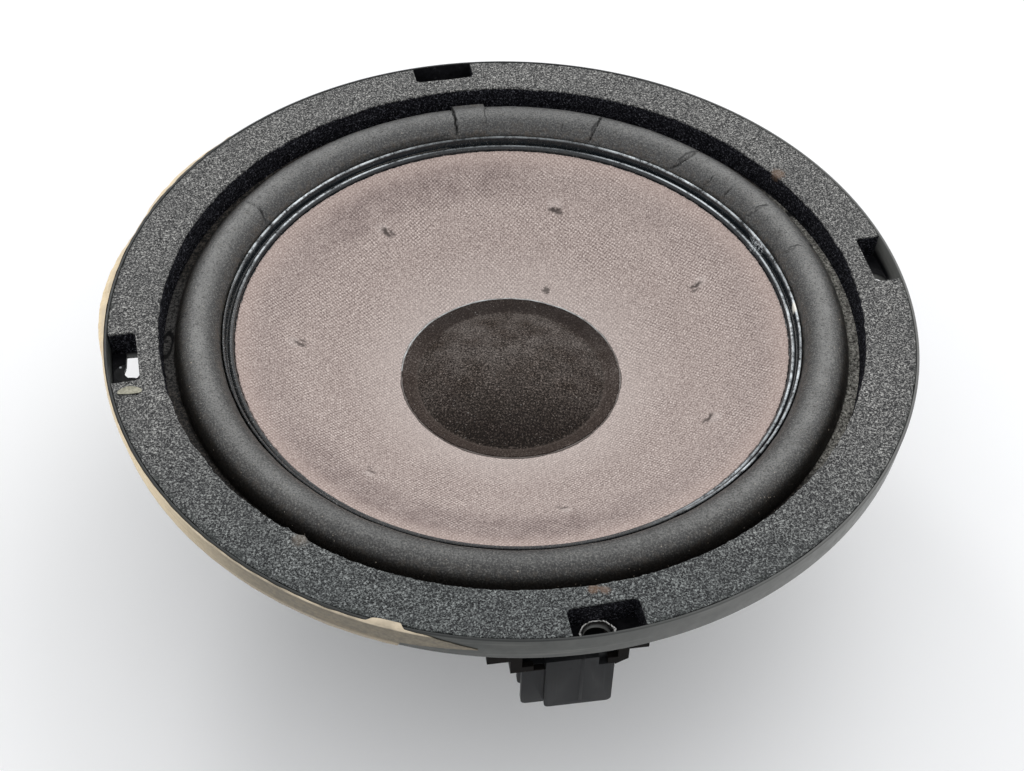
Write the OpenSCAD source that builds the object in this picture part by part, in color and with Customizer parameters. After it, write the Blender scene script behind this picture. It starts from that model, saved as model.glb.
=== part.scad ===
// Car door loudspeaker, about 200 mm across, in millimetres.
// One moving-coil driver: moulded basket, foam gasket, rolled surround, woven-faced cone,
// cloth dust cap, ferrite motor and a plug socket under the flange.
// Origin: centre of the flange's rear seating face. +Z points out of the cone.

/* [Rim and flange] */
// Outer radius of the moulded rim
rim_r = 100; // [99.5:0.1:101]
// Height of the rim's front edge above the seating face
rim_h = 8.9; // [8.5:0.1:9]
// Thickness of the upstanding rim wall
rim_wall = 0.7; // [0.7:0.05:0.75]
// Thickness of the flange plate
flange_t = 2; // [1.8:0.1:2.2]
// Chamfer under the rim
rim_chamfer = 1.4; // [0.8:0.1:1.6]

/* [Rivet holes] */
// Number of rivet holes, evenly spaced
rivet_count = 4; // [3:1:5]
// Radius of the circle through the rivet holes
rivet_circle_r = 95.9; // [95.9:0.1:96]
// Radius of each rivet hole
rivet_hole_r = 3.2; // [2.8:0.1:3.2]
// Angle of the first rivet hole
rivet_angle = 12.5; // [12:0.5:13.5]

/* [Foam gasket] */
// Inner radius of the foam at its front face
foam_in_r = 87.5; // [87.2:0.1:88]
// How far the foam's inner wall leans inwards at its foot
foam_lean = 0.6; // [0:0.1:0.8]
// Height of the foam's front face above the seating face
foam_top = 9; // [8.5:0.1:9.5]
// Width of each rivet notch
notch_w = 16.4; // [15:0.1:17]
// Distance from the axis to the inner edge of a notch
notch_in = 92.6; // [92.4:0.1:92.6]
// Angle of the first notch
notch_angle = 13.4; // [12.5:0.1:13.5]

/* [Surround] */
// Radius of the centre line of the roll
roll_mid_r = 78.4; // [78.3:0.1:78.5]
// Outer radius of the roll's own section
roll_r = 5.7; // [5.6:0.1:5.75]
// Sheet thickness of the surround
roll_t = 0.7; // [0.6:0.05:0.7]
// Height of the roll's section centre
roll_z = 2.2; // [2.1:0.1:2.4]
// Width in degrees of the joint where the strip's two ends overlap
splice_angle = 7; // [5:0.5:8]
// Extra height of that overlap
splice_t = 0.4; // [0.2:0.1:0.5]

/* [Cone] */
// Outer radius of the woven facing
fabric_r = 69.7; // [69.2:0.1:69.7]
// Height of the facing's outer edge
fabric_z = 1; // [0.9:0.05:1.1]
// Rise of the cone per millimetre of radius
cone_slope = 0.4185; // [0.4:0.005:0.43]
// Thickness of the facing, measured upright
fabric_t = 0.45; // [0.4:0.05:0.5]
// Thickness of the moulded cone, measured upright
cone_t = 0.85; // [0.7:0.05:0.9]
// Number of small dents left by the moulding gates
dent_count = 7; // [5:1:9]
// Radius of the circle through the dents
dent_circle_r = 54.3; // [50:0.1:58]

/* [Dust cap] */
// Outer radius of the cap's flat edge
cap_r = 28.15; // [27.5:0.05:28.5]
// Radius where the dome starts
dome_r = 24.2; // [23.5:0.1:24.5]
// Height of the dome
dome_h = 6; // [4.5:0.1:7]

/* [Motor] */
// Outer radius of the voice-coil former
former_r = 16; // [15.95:0.01:16]
// Length of the copper winding
winding_h = 9; // [7:0.5:9]
// Outer radius of the front plate
plate_r = 38; // [37:0.5:40]
// Thickness of the front plate
plate_t = 5; // [4.5:0.1:5]
// Outer radius of the ferrite ring
magnet_r = 42; // [41:0.5:44]
// Thickness of the ferrite ring
magnet_t = 12; // [12:0.1:14]
// Outer radius of the yoke's back plate
yoke_r = 37; // [35:0.5:39]
// Thickness of the yoke's back plate
yoke_t = 5.5; // [5:0.1:6]

/* [Basket] */
// Number of spokes and of windows between them
spoke_count = 6; // [5:1:7]
// Half the angle of each window
window_half = 19; // [15:0.5:20]
// Thickness of the rib behind each spoke
rib_t = 3; // [2.4:0.1:4]

/* [Connector] */
// Angle of the connector around the axis
plug_angle = 280; // [279:0.5:281]
// Distance from the axis to the connector's outer face
plug_face = 95; // [94.5:0.1:95.2]
// Depth of the socket's lower edge below the seating face
plug_depth = 25.3; // [24:0.1:27]

/* [Hidden] */
$fn = 144;
eps = 0.01;

// Shared heights and radii
lip_z = flange_t - 0.6;
floor_top = -40;
floor_bot = -43;
plate_bot = floor_bot - plate_t;
magnet_bot = plate_bot - magnet_t;
yoke_bot = magnet_bot - yoke_t;
land_z = -30;
neck_r = former_r + 0.05;
hole_r_motor = 22;
pole_r = former_r - 0.8;
gap_r = former_r + 1;
former_t = 0.4;
former_bot = -53;
former_top = -21;
winding_t = 0.6;
winding_mid = (floor_bot + plate_bot) / 2;
spoke_step = 360 / spoke_count;
notch_step = 360 / rivet_count;

// Height of the facing's front surface at radius r
function facing_z(r) = fabric_z - (fabric_r - r) * cone_slope;
// Height of the moulded cone's front surface at radius r
function shell_z(r) = facing_z(r) - fabric_t;
// Points of an arc in the section plane
function arc(cx, cz, r, a0, a1, n) =
    [for (i = [0:n]) let (a = a0 + (a1 - a0) * i / n) [cx + r * cos(a), cz + r * sin(a)]];

// ---------- basket ----------

// Section of the basket, from the rim in to the motor seat
basket_section = [
    [rim_r - rim_chamfer, 0],
    [rim_r, rim_chamfer],
    [rim_r, rim_h - 0.3],
    [rim_r - 0.3, rim_h],
    [rim_r - rim_wall, rim_h],
    [rim_r - rim_wall, flange_t],
    [89.2, flange_t],
    [89.2, lip_z],
    [84, lip_z],
    [83.2, -10],
    [58, -29],
    [58, land_z],
    [50, land_z],
    [50, floor_top],
    [hole_r_motor, floor_top],
    [hole_r_motor, floor_bot],
    [52.2, floor_bot],
    [52.2, -32.2],
    [57.4, -32.2],
    [85.3, -11.16],
    [86.2, 0]];

// Outline of the rib behind a spoke, radius then height
rib_outline = [[51, -33], [57, -31.5], [84.6, -12], [85, -14.5], [59, -38], [55, floor_bot],
    [51, floor_bot]];

window_in_r = 61.5;
window_out_r = 80;

// Terminal blades, in the connector's own directions: w outwards, u around, z up
blade_half = 1.4;
blade_u = [-2.4, 4.9];
blade_w = [79, 91.2];
blade_z = [-9.4, -8.6];
blade_t = blade_z[1] - blade_z[0];
blade_tip = -22;
slot_gap = 0.1;
blade_slot_z = [blade_z[0] - slot_gap, blade_z[1] + slot_gap];
// Extent around the rim of the slot for the blade at u
function blade_slot(u) = [u - blade_half - slot_gap, u + blade_half + slot_gap];

// Shallow relief in the flange's back that the plug's bracket sits in
relief_t = 0.4;
relief_r = [86.5, 98.3];
relief_angle = [-12.6, 10.6];

// A box in the connector's own directions: w outwards, u around, z up
module plug_box(w, u, z) {
    rotate([0, 0, plug_angle])
        translate([w[0], u[0], z[0]])
            cube([w[1] - w[0], u[1] - u[0], z[1] - z[0]]);
}

module window_cut() {
    linear_extrude(height = 40)
        intersection() {
            difference() {
                circle(r = window_out_r);
                circle(r = window_in_r);
            }
            polygon([[0, 0], [110 * cos(window_half), -110 * sin(window_half)],
                [110 * cos(window_half), 110 * sin(window_half)]]);
        }
}

module basket() {
    color([0.16, 0.16, 0.15])
        difference() {
            union() {
                rotate_extrude() polygon(basket_section);
                for (i = [0:spoke_count - 1])
                    rotate([0, 0, plug_angle + i * spoke_step])
                        translate([0, rib_t / 2, 0])
                            rotate([90, 0, 0])
                                linear_extrude(height = rib_t) polygon(rib_outline);
            }
            // windows between the spokes
            for (i = [0:spoke_count - 1])
                rotate([0, 0, plug_angle + (i + 0.5) * spoke_step])
                    translate([0, 0, -41]) window_cut();
            // rivet holes through the flange
            for (i = [0:rivet_count - 1])
                rotate([0, 0, rivet_angle + i * notch_step])
                    translate([rivet_circle_r, 0, -1]) cylinder(r = rivet_hole_r, h = flange_t + 2);
            // slots in the bowl's wall that the terminal blades pass through
            for (u = blade_u)
                plug_box([81, 88], blade_slot(u), blade_slot_z);
            rotate([0, 0, plug_angle + relief_angle[0]])
                rotate_extrude(angle = relief_angle[1] - relief_angle[0])
                    polygon([[relief_r[0], -1], [relief_r[1], -1], [relief_r[1], relief_t],
                        [relief_r[0], relief_t]]);
            // screw holes in the motor seat
            screw_places()
                translate([0, 0, floor_bot - 1]) cylinder(r = screw_r + 0.2, h = 5, $fn = screw_fn);
        }
}

// ---------- foam gasket ----------

foam_gap = 0.1;
foam_out_r = rim_r - rim_wall - foam_gap;

module foam_gasket() {
    color([0.36, 0.36, 0.36])
        difference() {
            rotate_extrude()
                polygon([[foam_in_r, foam_top], [foam_in_r - foam_lean, flange_t], [foam_out_r, flange_t],
                    [foam_out_r, foam_top]]);
            // notches, open towards the rim wall
            for (i = [0:rivet_count - 1])
                rotate([0, 0, notch_angle + i * notch_step])
                    translate([notch_in, -notch_w / 2, flange_t - 1])
                        cube([10, notch_w, foam_top]);
        }
}

// ---------- surround ----------

surround_in_r = 70.7;
surround_out_r = 89;
ring_foot_z = 0.9;
roll_in_r = roll_r - roll_t;
inner_lip_z = ring_foot_z - roll_t;

surround_section = concat(
    [[surround_out_r, lip_z], [surround_out_r, flange_t], [roll_mid_r + roll_r, flange_t]],
    arc(roll_mid_r, roll_z, roll_r, 0, 180, 20),
    [[roll_mid_r - roll_r, ring_foot_z], [surround_in_r, ring_foot_z], [surround_in_r, inner_lip_z],
        [roll_mid_r - roll_in_r, inner_lip_z]],
    arc(roll_mid_r, roll_z, roll_in_r, 180, 0, 20),
    [[roll_mid_r + roll_in_r, lip_z]]);

// The overlap where the strip's ends are joined, a second layer over the crown
splice_section = concat(
    arc(roll_mid_r, roll_z, roll_r + splice_t, 14, 150, 14),
    arc(roll_mid_r, roll_z, roll_r - 0.1, 150, 14, 14));

module surround() {
    color([0.24, 0.24, 0.24])
        union() {
            rotate_extrude() polygon(surround_section);
            rotate([0, 0, 97.5]) rotate_extrude(angle = splice_angle) polygon(splice_section);
        }
}

// ---------- cone ----------

cone_edge_r = 72.5;
neck_wall = 0.85;
neck_bot = -25.5;

// Moulded cone: neck sleeve, straight wall and the two glossy ridges round its edge
cone_section = [
    [neck_r, neck_bot],
    [neck_r, shell_z(neck_r)],
    [fabric_r + 0.05, shell_z(fabric_r + 0.05)],
    [fabric_r + 0.05, 1.35],
    [70.05, 1.85],
    [70.5, 2.05],
    [70.95, 1.9],
    [71.25, 1.5],
    [71.55, 1.6],
    [71.75, 3.3],
    [71.9, 3.85],
    [72.15, 4.05],
    [72.4, 3.9],
    [cone_edge_r, 3.5],
    [cone_edge_r, ring_foot_z],
    [surround_in_r - 0.1, ring_foot_z],
    [surround_in_r - 0.1, 0.1],
    [surround_in_r - 0.5, shell_z(surround_in_r - 0.5) - cone_t],
    [neck_r + neck_wall, shell_z(neck_r + neck_wall) - cone_t],
    [neck_r + neck_wall, neck_bot]];

module cone_body() {
    color([0.05, 0.06, 0.07])
        rotate_extrude() polygon(cone_section);
}

fabric_in_r = 20;
dent_r = 1.7;
dent_depth = 0.28;
dent_angle = 27;

module cone_fabric() {
    color([0.62, 0.56, 0.54])
        difference() {
            rotate_extrude()
                polygon([[fabric_in_r, facing_z(fabric_in_r)], [fabric_r, facing_z(fabric_r)],
                    [fabric_r, shell_z(fabric_r)], [fabric_in_r, shell_z(fabric_in_r)]]);
            for (i = [0:dent_count - 1])
                rotate([0, 0, dent_angle + i * 360 / dent_count])
                    translate([dent_circle_r, 0, facing_z(dent_circle_r) + dent_r - dent_depth])
                        sphere(r = dent_r, $fn = 32);
        }
}

// ---------- dust cap ----------

cap_t = 0.45;
dome_foot_z = facing_z(dome_r) + cap_t;
dome_ball_r = (dome_r * dome_r + dome_h * dome_h) / (2 * dome_h);
dome_ball_z = dome_foot_z + dome_h - dome_ball_r;
dome_half = asin(dome_r / dome_ball_r);

cap_section = concat(
    arc(0, dome_ball_z, dome_ball_r, 90, 90 - dome_half, 14),
    [[cap_r, facing_z(cap_r) + cap_t], [cap_r, facing_z(cap_r)],
        [dome_r - 0.3, facing_z(dome_r - 0.3)]],
    arc(0, dome_ball_z, dome_ball_r - cap_t, 90 - dome_half * 0.97, 90, 14));

module dust_cap() {
    color([0.28, 0.25, 0.24])
        rotate_extrude() polygon(cap_section);
}

// Thin bead of adhesive that shows round the cap's edge
module cap_glue_bead() {
    color([0.62, 0.62, 0.6])
        rotate_extrude()
            polygon([[cap_r + 0.02, facing_z(cap_r + 0.02)], [cap_r + 0.02, facing_z(cap_r) + 0.35],
                [cap_r + 0.3, facing_z(cap_r + 0.3) + 0.25], [cap_r + 0.6, facing_z(cap_r + 0.6)]]);
}

// ---------- coil and spider ----------

module tube(r_out, r_in, z0, z1) {
    translate([0, 0, z0])
        difference() {
            cylinder(r = r_out, h = z1 - z0);
            translate([0, 0, -1]) cylinder(r = r_in, h = z1 - z0 + 2);
        }
}

module coil_former() {
    color([0.72, 0.55, 0.3])
        tube(former_r, former_r - former_t, former_bot, former_top);
}

module voice_coil() {
    color([0.72, 0.4, 0.2])
        tube(former_r + winding_t, former_r, winding_mid - winding_h / 2, winding_mid + winding_h / 2);
}

spider_t = 0.5;
spider_wave_in = 19;
spider_wave_out = 49;
spider_waves = 5;
spider_amp = 1.1;
spider_n = 60;

// Height of the spider's upper surface at a place t from 0 to 1 across its waves
function spider_z(t) = land_z + spider_t + spider_amp * sin(360 * spider_waves * t);
function wave_point(i, drop) =
    [spider_wave_in + (spider_wave_out - spider_wave_in) * i / spider_n, spider_z(i / spider_n) - drop];

spider_section = concat(
    [[neck_r, land_z - 1], [neck_r, land_z + 2], [neck_r + spider_t, land_z + 2],
        [neck_r + spider_t, land_z + spider_t]],
    [for (i = [0:spider_n]) wave_point(i, 0)],
    [[57, land_z + spider_t], [57, land_z]],
    [for (i = [spider_n:-1:0]) wave_point(i, spider_t)],
    [[neck_r + spider_t, land_z], [neck_r + spider_t, land_z - 1]]);

module spider() {
    color([0.55, 0.42, 0.25])
        rotate_extrude() polygon(spider_section);
}

// ---------- motor ----------

screw_r = 1.6;
screw_circle_r = 31;
screw_count = 4;
screw_head_r = 3.2;
screw_head_h = 2.2;
screw_end = plate_bot + 0.8;
screw_fn = 48;
tapped_end = plate_bot + 0.6;
// Arms of the crossed driver recess
cross_len = 3.8;
cross_w = 0.7;
cross_floor = floor_top + 1.1;

// Repeats a child at each of the motor's screw positions
module screw_places() {
    for (i = [0:screw_count - 1])
        rotate([0, 0, plug_angle + 45 + i * 360 / screw_count])
            translate([screw_circle_r, 0, 0]) children();
}

module front_plate() {
    color([0.5, 0.5, 0.5])
        difference() {
            tube(plate_r, gap_r, plate_bot, floor_bot);
            screw_places()
                translate([0, 0, tapped_end]) cylinder(r = screw_r + 0.05, h = 8, $fn = screw_fn);
        }
}

module plate_screws() {
    color([0.6, 0.6, 0.58])
        screw_places() {
            difference() {
                translate([0, 0, floor_top])
                    cylinder(r = screw_head_r, h = screw_head_h, $fn = screw_fn);
                for (a = [0, 90])
                    rotate([0, 0, a])
                        translate([-cross_len / 2, -cross_w / 2, cross_floor]) cube([cross_len, cross_w, 2]);
            }
            translate([0, 0, screw_end])
                cylinder(r = screw_r, h = floor_top - screw_end, $fn = screw_fn);
        }
}

module magnet() {
    color([0.2, 0.2, 0.21])
        tube(magnet_r, hole_r_motor, magnet_bot, plate_bot);
}

module yoke() {
    color([0.5, 0.5, 0.5])
        union() {
            translate([0, 0, yoke_bot]) cylinder(r1 = yoke_r - 0.8, r2 = yoke_r, h = 0.8);
            translate([0, 0, yoke_bot + 0.8 - eps]) cylinder(r = yoke_r, h = yoke_t - 0.8 + eps);
            translate([0, 0, magnet_bot - eps]) cylinder(r = pole_r, h = floor_bot - magnet_bot + eps);
        }
}

// ---------- connector ----------

plug_back = 86.6;
plug_top = -7.7;
plug_wall = 1.3;
main_u = [-6.5, 9];
socket_top = -11;
side_u = [-11.6, -6.4];
side_face = plug_face - 1.6;
side_top = -9.9;
side_wall = 1.4;
channel_top = -11.4;
face_rib_u = [-4.6, 1.4];
face_rib_w = 0.8;
face_rib_out = 0.3;
cut_past = 1;
// Corner of the block that is stepped back for the bracket's hook
step_u = [5.4, main_u[1] + 0.1];
step_w = plug_face - 1.7;
step_z = -10.6;

module connector_housing() {
    color([0.17, 0.18, 0.18])
        difference() {
            union() {
                plug_box([plug_back, plug_face], main_u, [-plug_depth, plug_top]);
                plug_box([plug_back, side_face], side_u, [-plug_depth, side_top]);
                // two low ribs on the outer face
                for (u = face_rib_u)
                    plug_box([plug_face - 0.1, plug_face + face_rib_out], [u, u + face_rib_w],
                        [1 - plug_depth, plug_top]);
            }
            // socket, open at its lower end
            plug_box([plug_back + plug_wall, plug_face - plug_wall],
                [main_u[0] + plug_wall, main_u[1] - plug_wall], [-plug_depth - cut_past, socket_top]);
            // keying channel in the side block, open at its side and lower end
            plug_box([plug_back + side_wall, side_face - side_wall],
                [side_u[0] - cut_past, side_u[1] - side_wall], [-plug_depth - cut_past, channel_top]);
            plug_box([step_w, plug_face + cut_past], step_u, [step_z, plug_top + cut_past]);
            // slots that hold the terminal blades
            for (u = blade_u) {
                plug_box([blade_w[1] - blade_t - slot_gap, blade_w[1] + slot_gap], blade_slot(u),
                    [socket_top - cut_past, blade_slot_z[1]]);
                plug_box([plug_back - cut_past, blade_w[1] + slot_gap], blade_slot(u), blade_slot_z);
            }
        }
}

skirt_u = [-19.8, 16.5];
skirt_bot = -5.85;
skirt_t = 1.8;
left_cheek_u = [-14.5, -12.7];
left_cheek_bot = -10.35;
bar_t = 1.5;
post_end_u = -9.3;
bar_end_u = -6.6;
bar_h = 0.4;
// Outline of the right cheek, around then up
right_cheek = [[9.1, -11.2], [12.1, -9.4], [12.1, relief_t], [9.1, relief_t]];
// Hook that reaches round the block's corner
hook_u = [7.45, 9.2];
hook_z = [-10.5, -8.3];
// Gap above the socket
gap_u = [-11.9, 9.6];
gap_z = [-8.4, -0.8];
// Roof that ties the cheeks together behind the rivet's clearance
roof_w = [plug_back, 92];
roof_u = [left_cheek_u[0], right_cheek[1][0]];
rivet_clear = 0.1;

module connector_bracket() {
    color([0.15, 0.15, 0.15])
        difference() {
            union() {
                // skirt below the flange
                plug_box([plug_face - skirt_t, plug_face], skirt_u, [skirt_bot, relief_t]);
                // cheeks that grip the housing on both sides
                plug_box([plug_back, plug_face], left_cheek_u, [left_cheek_bot, relief_t]);
                rotate([0, 0, plug_angle])
                    translate([plug_back, 0, 0])
                        rotate([90, 0, 90])
                            linear_extrude(height = plug_face - plug_back) polygon(right_cheek);
                plug_box([plug_face - bar_t, plug_face], hook_u, hook_z);
                // front post and bar of the left cheek
                plug_box([plug_face - bar_t, plug_face], [left_cheek_u[0], post_end_u],
                    [left_cheek_bot, relief_t]);
                plug_box([plug_face - bar_t, plug_face], [post_end_u - 0.1, bar_end_u],
                    [left_cheek_bot, left_cheek_bot + bar_h]);
                plug_box(roof_w, roof_u, [gap_z[1], relief_t]);
            }
            plug_box([plug_face - 2 * bar_t, plug_face + cut_past], gap_u, gap_z);
            // room for the rivet nearest the socket
            rotate([0, 0, rivet_angle + (rivet_count - 1) * notch_step])
                translate([rivet_circle_r, 0, skirt_bot - cut_past])
                    cylinder(r = rivet_hole_r + rivet_clear, h = relief_t - skirt_bot + 2 * cut_past);
        }
}

module terminal_blades() {
    color([0.75, 0.65, 0.4])
        for (u = blade_u)
            union() {
                plug_box([blade_w[1] - blade_t, blade_w[1]], [u - blade_half, u + blade_half],
                    [blade_tip, blade_z[1]]);
                plug_box(blade_w, [u - blade_half, u + blade_half], blade_z);
            }
}

// ---------- leads ----------

lead_r = 0.8;
lead_bend_r = 89.4;
// Ends of a lead in the connector's upright plane, distance outwards then height
lead_out = [80, -10.4];
lead_in = [17.6, -26.4];
lead_run = norm(lead_out - lead_in);
lead_sweep = 2 * asin(lead_run / 2 / lead_bend_r);
lead_tilt = atan2(lead_out[1] - lead_in[1], lead_out[0] - lead_in[0]);
lead_rise = sqrt(lead_bend_r * lead_bend_r - lead_run * lead_run / 4);
lead_mid = (lead_out + lead_in) / 2;
// Centre of the lead's sagging arc
lead_centre = lead_mid + lead_rise * [-sin(lead_tilt), cos(lead_tilt)];

module tinsel_lead(u) {
    color([0.7, 0.62, 0.5])
        rotate([0, 0, plug_angle])
            translate([lead_centre[0], u, lead_centre[1]])
                rotate([90, 0, 0])
                    rotate([0, 0, lead_tilt - 90 - lead_sweep / 2])
                        rotate_extrude(angle = lead_sweep)
                            translate([lead_bend_r, 0]) circle(r = lead_r, $fn = 24);
}

module tinsel_lead_a() {
    tinsel_lead(blade_u[0]);
}

module tinsel_lead_b() {
    tinsel_lead(blade_u[1]);
}

// ---------- marks of use ----------

// Torn collar of a drilled-out blind rivet, left round the hole nearest the connector
// Half widths of the collar, squeezed between the foam and the rim
collar_half = [3.25, 3.85];
collar_wall = [0.45, 0.6];
collar_h = 1.8;

module rivet_remnant() {
    color([0.75, 0.75, 0.74])
        rotate([0, 0, rivet_angle + (rivet_count - 1) * notch_step])
            translate([rivet_circle_r, 0, flange_t])
                linear_extrude(height = collar_h)
                    difference() {
                        scale(collar_half) circle(r = 1);
                        scale(collar_half - collar_wall) circle(r = 1);
                    }
}

tape_start = 138;
tape_end = 268;
tape_step = 2;
tape_t = 0.3;
tape_low = 1.3;
tape_high = 8.2;
// The strip's end is torn from above and from below
upper_tear = [260, 15];
lower_tear = [258, 11.5];

// How far the tape has come away from the rim at angle a
function tape_lift(a) =
    a < 166 ? 1.1 * sin(180 * max(0, a - 142) / 24)
    : a < 194 ? 1.7 * sin(180 * (a - 166) / 28)
    : 0;
function tape_point(a, r) =
    let (q = r + max(0, tape_lift(a))) [q * cos(a), q * sin(a)];

// Strip of old tape round the outside of the rim, torn to a point at its end
module rim_tape() {
    color([0.74, 0.66, 0.52])
        difference() {
            translate([0, 0, tape_low])
                linear_extrude(height = tape_high - tape_low)
                    polygon(concat(
                        [for (a = [tape_start:tape_step:tape_end]) tape_point(a, rim_r + 0.06)],
                        [for (a = [tape_end:-tape_step:tape_start]) tape_point(a, rim_r + 0.06 + tape_t)]));
            // slanting tears that run the strip out to a point
            rotate([0, 0, upper_tear[0]])
                translate([rim_r - 5, 0, tape_high])
                    rotate([-upper_tear[1], 0, 0])
                        cube([10, 30, 8]);
            rotate([0, 0, lower_tear[0]])
                translate([rim_r - 5, 0, tape_low])
                    rotate([lower_tear[1], 0, 0])
                        translate([0, 0, -8]) cube([10, 30, 8]);
        }
}

flake_angle = 200.3;
flake_at_r = 95.9;

// Loose flake of tape lying on the foam
module tape_flake() {
    color([0.7, 0.68, 0.6])
        rotate([0, 0, flake_angle])
            translate([flake_at_r, 0, foam_top + 0.02])
                linear_extrude(height = tape_t)
                    rotate([0, 0, -flake_angle])
                        polygon([[-2.75, -0.5], [-1.8, 0.4], [-0.2, 1], [2.7, 0.55], [2.2, -0.2], [0.3, -1.1],
                            [-2.5, -0.8]]);
}

basket();
foam_gasket();
surround();
cone_body();
cone_fabric();
dust_cap();
cap_glue_bead();
coil_former();
voice_coil();
spider();
front_plate();
magnet();
yoke();
plate_screws();
connector_bracket();
connector_housing();
terminal_blades();
tinsel_lead_a();
tinsel_lead_b();
rivet_remnant();
rim_tape();
tape_flake();
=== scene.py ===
import math

import bmesh
import bpy
import numpy as np
from mathutils import Matrix, Vector, noise


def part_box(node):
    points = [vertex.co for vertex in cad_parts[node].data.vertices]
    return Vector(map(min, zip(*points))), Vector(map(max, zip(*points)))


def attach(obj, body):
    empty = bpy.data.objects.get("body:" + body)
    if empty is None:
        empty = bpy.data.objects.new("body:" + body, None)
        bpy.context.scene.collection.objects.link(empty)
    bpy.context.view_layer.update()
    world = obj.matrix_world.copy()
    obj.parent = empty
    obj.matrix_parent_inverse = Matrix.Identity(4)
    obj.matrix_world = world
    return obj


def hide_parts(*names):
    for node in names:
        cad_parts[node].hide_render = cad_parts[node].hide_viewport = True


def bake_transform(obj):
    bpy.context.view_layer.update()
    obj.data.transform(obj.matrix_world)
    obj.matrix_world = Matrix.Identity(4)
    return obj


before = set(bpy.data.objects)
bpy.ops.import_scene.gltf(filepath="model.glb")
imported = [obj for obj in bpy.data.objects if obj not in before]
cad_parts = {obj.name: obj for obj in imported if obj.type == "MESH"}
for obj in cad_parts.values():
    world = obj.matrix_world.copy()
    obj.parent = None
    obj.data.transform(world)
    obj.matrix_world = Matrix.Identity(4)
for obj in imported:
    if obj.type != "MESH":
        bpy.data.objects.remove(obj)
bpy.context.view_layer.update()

# Car door loudspeaker. Sizes are in millimetres and turned into metres by MM; angles are in degrees.
MM = 0.001
PLUG_ANGLE = 280
RIM_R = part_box("basket")[1][0] / MM
FLOOR_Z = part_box("yoke")[0][2] / MM
FLANGE_Z = 2.0
FOAM_TOP = 9.0
# Rivets, notches and screws stand a quarter turn apart
QUARTERS = 4
QUARTER = 90
RIVET_R = 95.9
RIVET_ANGLE = 12.5
# The rivet that left its torn collar is the last one round
TORN_ANGLE = RIVET_ANGLE + 3 * QUARTER
# Half widths of the torn collar, outwards and along the rim
COLLAR_HALF = (3.25, 3.85)


# ---------- mesh helpers ----------


def piece(name, verts, faces, look=None, slot=None, body=None, *nodes):
    """Make a mesh piece from points in millimetres, give it its look, and hang it on a body."""
    mesh = bpy.data.meshes.new(name)
    mesh.from_pydata((np.asarray(verts, float) * MM).tolist(), [], [list(map(int, f)) for f in faces])
    mesh.validate()
    mesh.polygons.foreach_set("use_smooth", [True] * len(mesh.polygons))
    if look:
        mesh.materials.append(LOOKS[look])
    obj = bpy.data.objects.new(name, mesh)
    bpy.context.collection.objects.link(obj)
    if body:
        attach(obj, body)
    if nodes:
        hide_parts(*nodes)
    return obj


def polar(radius, angle, z):
    """Points from radius, angle and height."""
    a = np.radians(angle)
    return np.stack([radius * np.cos(a), radius * np.sin(a), z + 0 * radius], axis=-1)


def turned(x, y, z, angle):
    """A point turned round Z."""
    c, s = math.cos(math.radians(angle)), math.sin(math.radians(angle))
    return (x * c - y * s, x * s + y * c, z)


def plug_point(w, u, z):
    """A point in the connector's own directions: w outwards, u around the rim, z up."""
    return turned(w, u, z, PLUG_ANGLE)


def rounded(points, steps=3):
    """An outline of (x, y, corner radius) with each such corner turned into an arc."""
    out = []
    for i, (x, y, rad) in enumerate(points):
        here = np.array([x, y], float)
        if rad <= 0:
            out.append(here)
            continue
        back = np.array(points[i - 1][:2], float) - here
        ahead = np.array(points[(i + 1) % len(points)][:2], float) - here
        back /= np.linalg.norm(back)
        ahead /= np.linalg.norm(ahead)
        half = math.acos(float(np.clip(back @ ahead, -1, 1))) / 2
        middle = (back + ahead) / np.linalg.norm(back + ahead)
        centre = here + middle * rad / math.sin(half)
        reach = rad / math.tan(half)
        start = here + back * reach - centre
        stop = here + ahead * reach - centre
        turn = math.atan2(start[0] * stop[1] - start[1] * stop[0], start @ stop)
        for k in range(steps + 1):
            c, s = math.cos(turn * k / steps), math.sin(turn * k / steps)
            out.append(centre + np.array([start[0] * c - start[1] * s, start[0] * s + start[1] * c]))
    return np.array(out)


def arc_points(cx, cy, rad, start, stop, steps):
    """Points along an arc in a section."""
    a = np.radians(np.linspace(start, stop, steps + 1))
    return np.stack([cx + rad * np.cos(a), cy + rad * np.sin(a)], axis=-1)


def refine(points, step):
    """Add points along a closed outline so that no side is longer than step."""
    out = []
    for here, ahead in zip(points, np.roll(points, -1, axis=0)):
        count = max(1, math.ceil(np.linalg.norm(ahead - here) / step))
        out += [here + (ahead - here) * k / count for k in range(count)]
    return np.array(out)


def grid_faces(columns, rows, around=True, closed=True, skip=None):
    """Faces of a grid of columns by rows, with outward normals for an outline that turns left."""
    i = np.arange(columns if around else columns - 1)
    j = np.arange(rows if closed else rows - 1)
    i, j = np.meshgrid(i, j, indexing="ij")
    i, j = i.ravel(), j.ravel()
    if skip is not None:
        keep = ~skip(i, j)
        i, j = i[keep], j[keep]
    i2, j2 = (i + 1) % columns, (j + 1) % rows
    return np.stack([i * rows + j, i2 * rows + j, i2 * rows + j2, i * rows + j2], axis=-1).tolist()


def lathe_grid(outline, segments, shape=None):
    """Points of an outline turned round Z. shape(angle, radius, z) may move them."""
    a = (np.arange(segments) * 360 / segments)[:, None] + 0 * outline[None, :, 0]
    r = outline[None, :, 0] + 0 * a
    z = outline[None, :, 1] + 0 * a
    if shape:
        a, r, z = shape(a, r, z)
    return polar(r, a, z).reshape(-1, 3)


def lathe(name, outline, segments, shape, *rest):
    """A closed outline turned all the way round Z; rest goes on to piece()."""
    return piece(name, lathe_grid(outline, segments, shape), grid_faces(segments, len(outline)), *rest)


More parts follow.
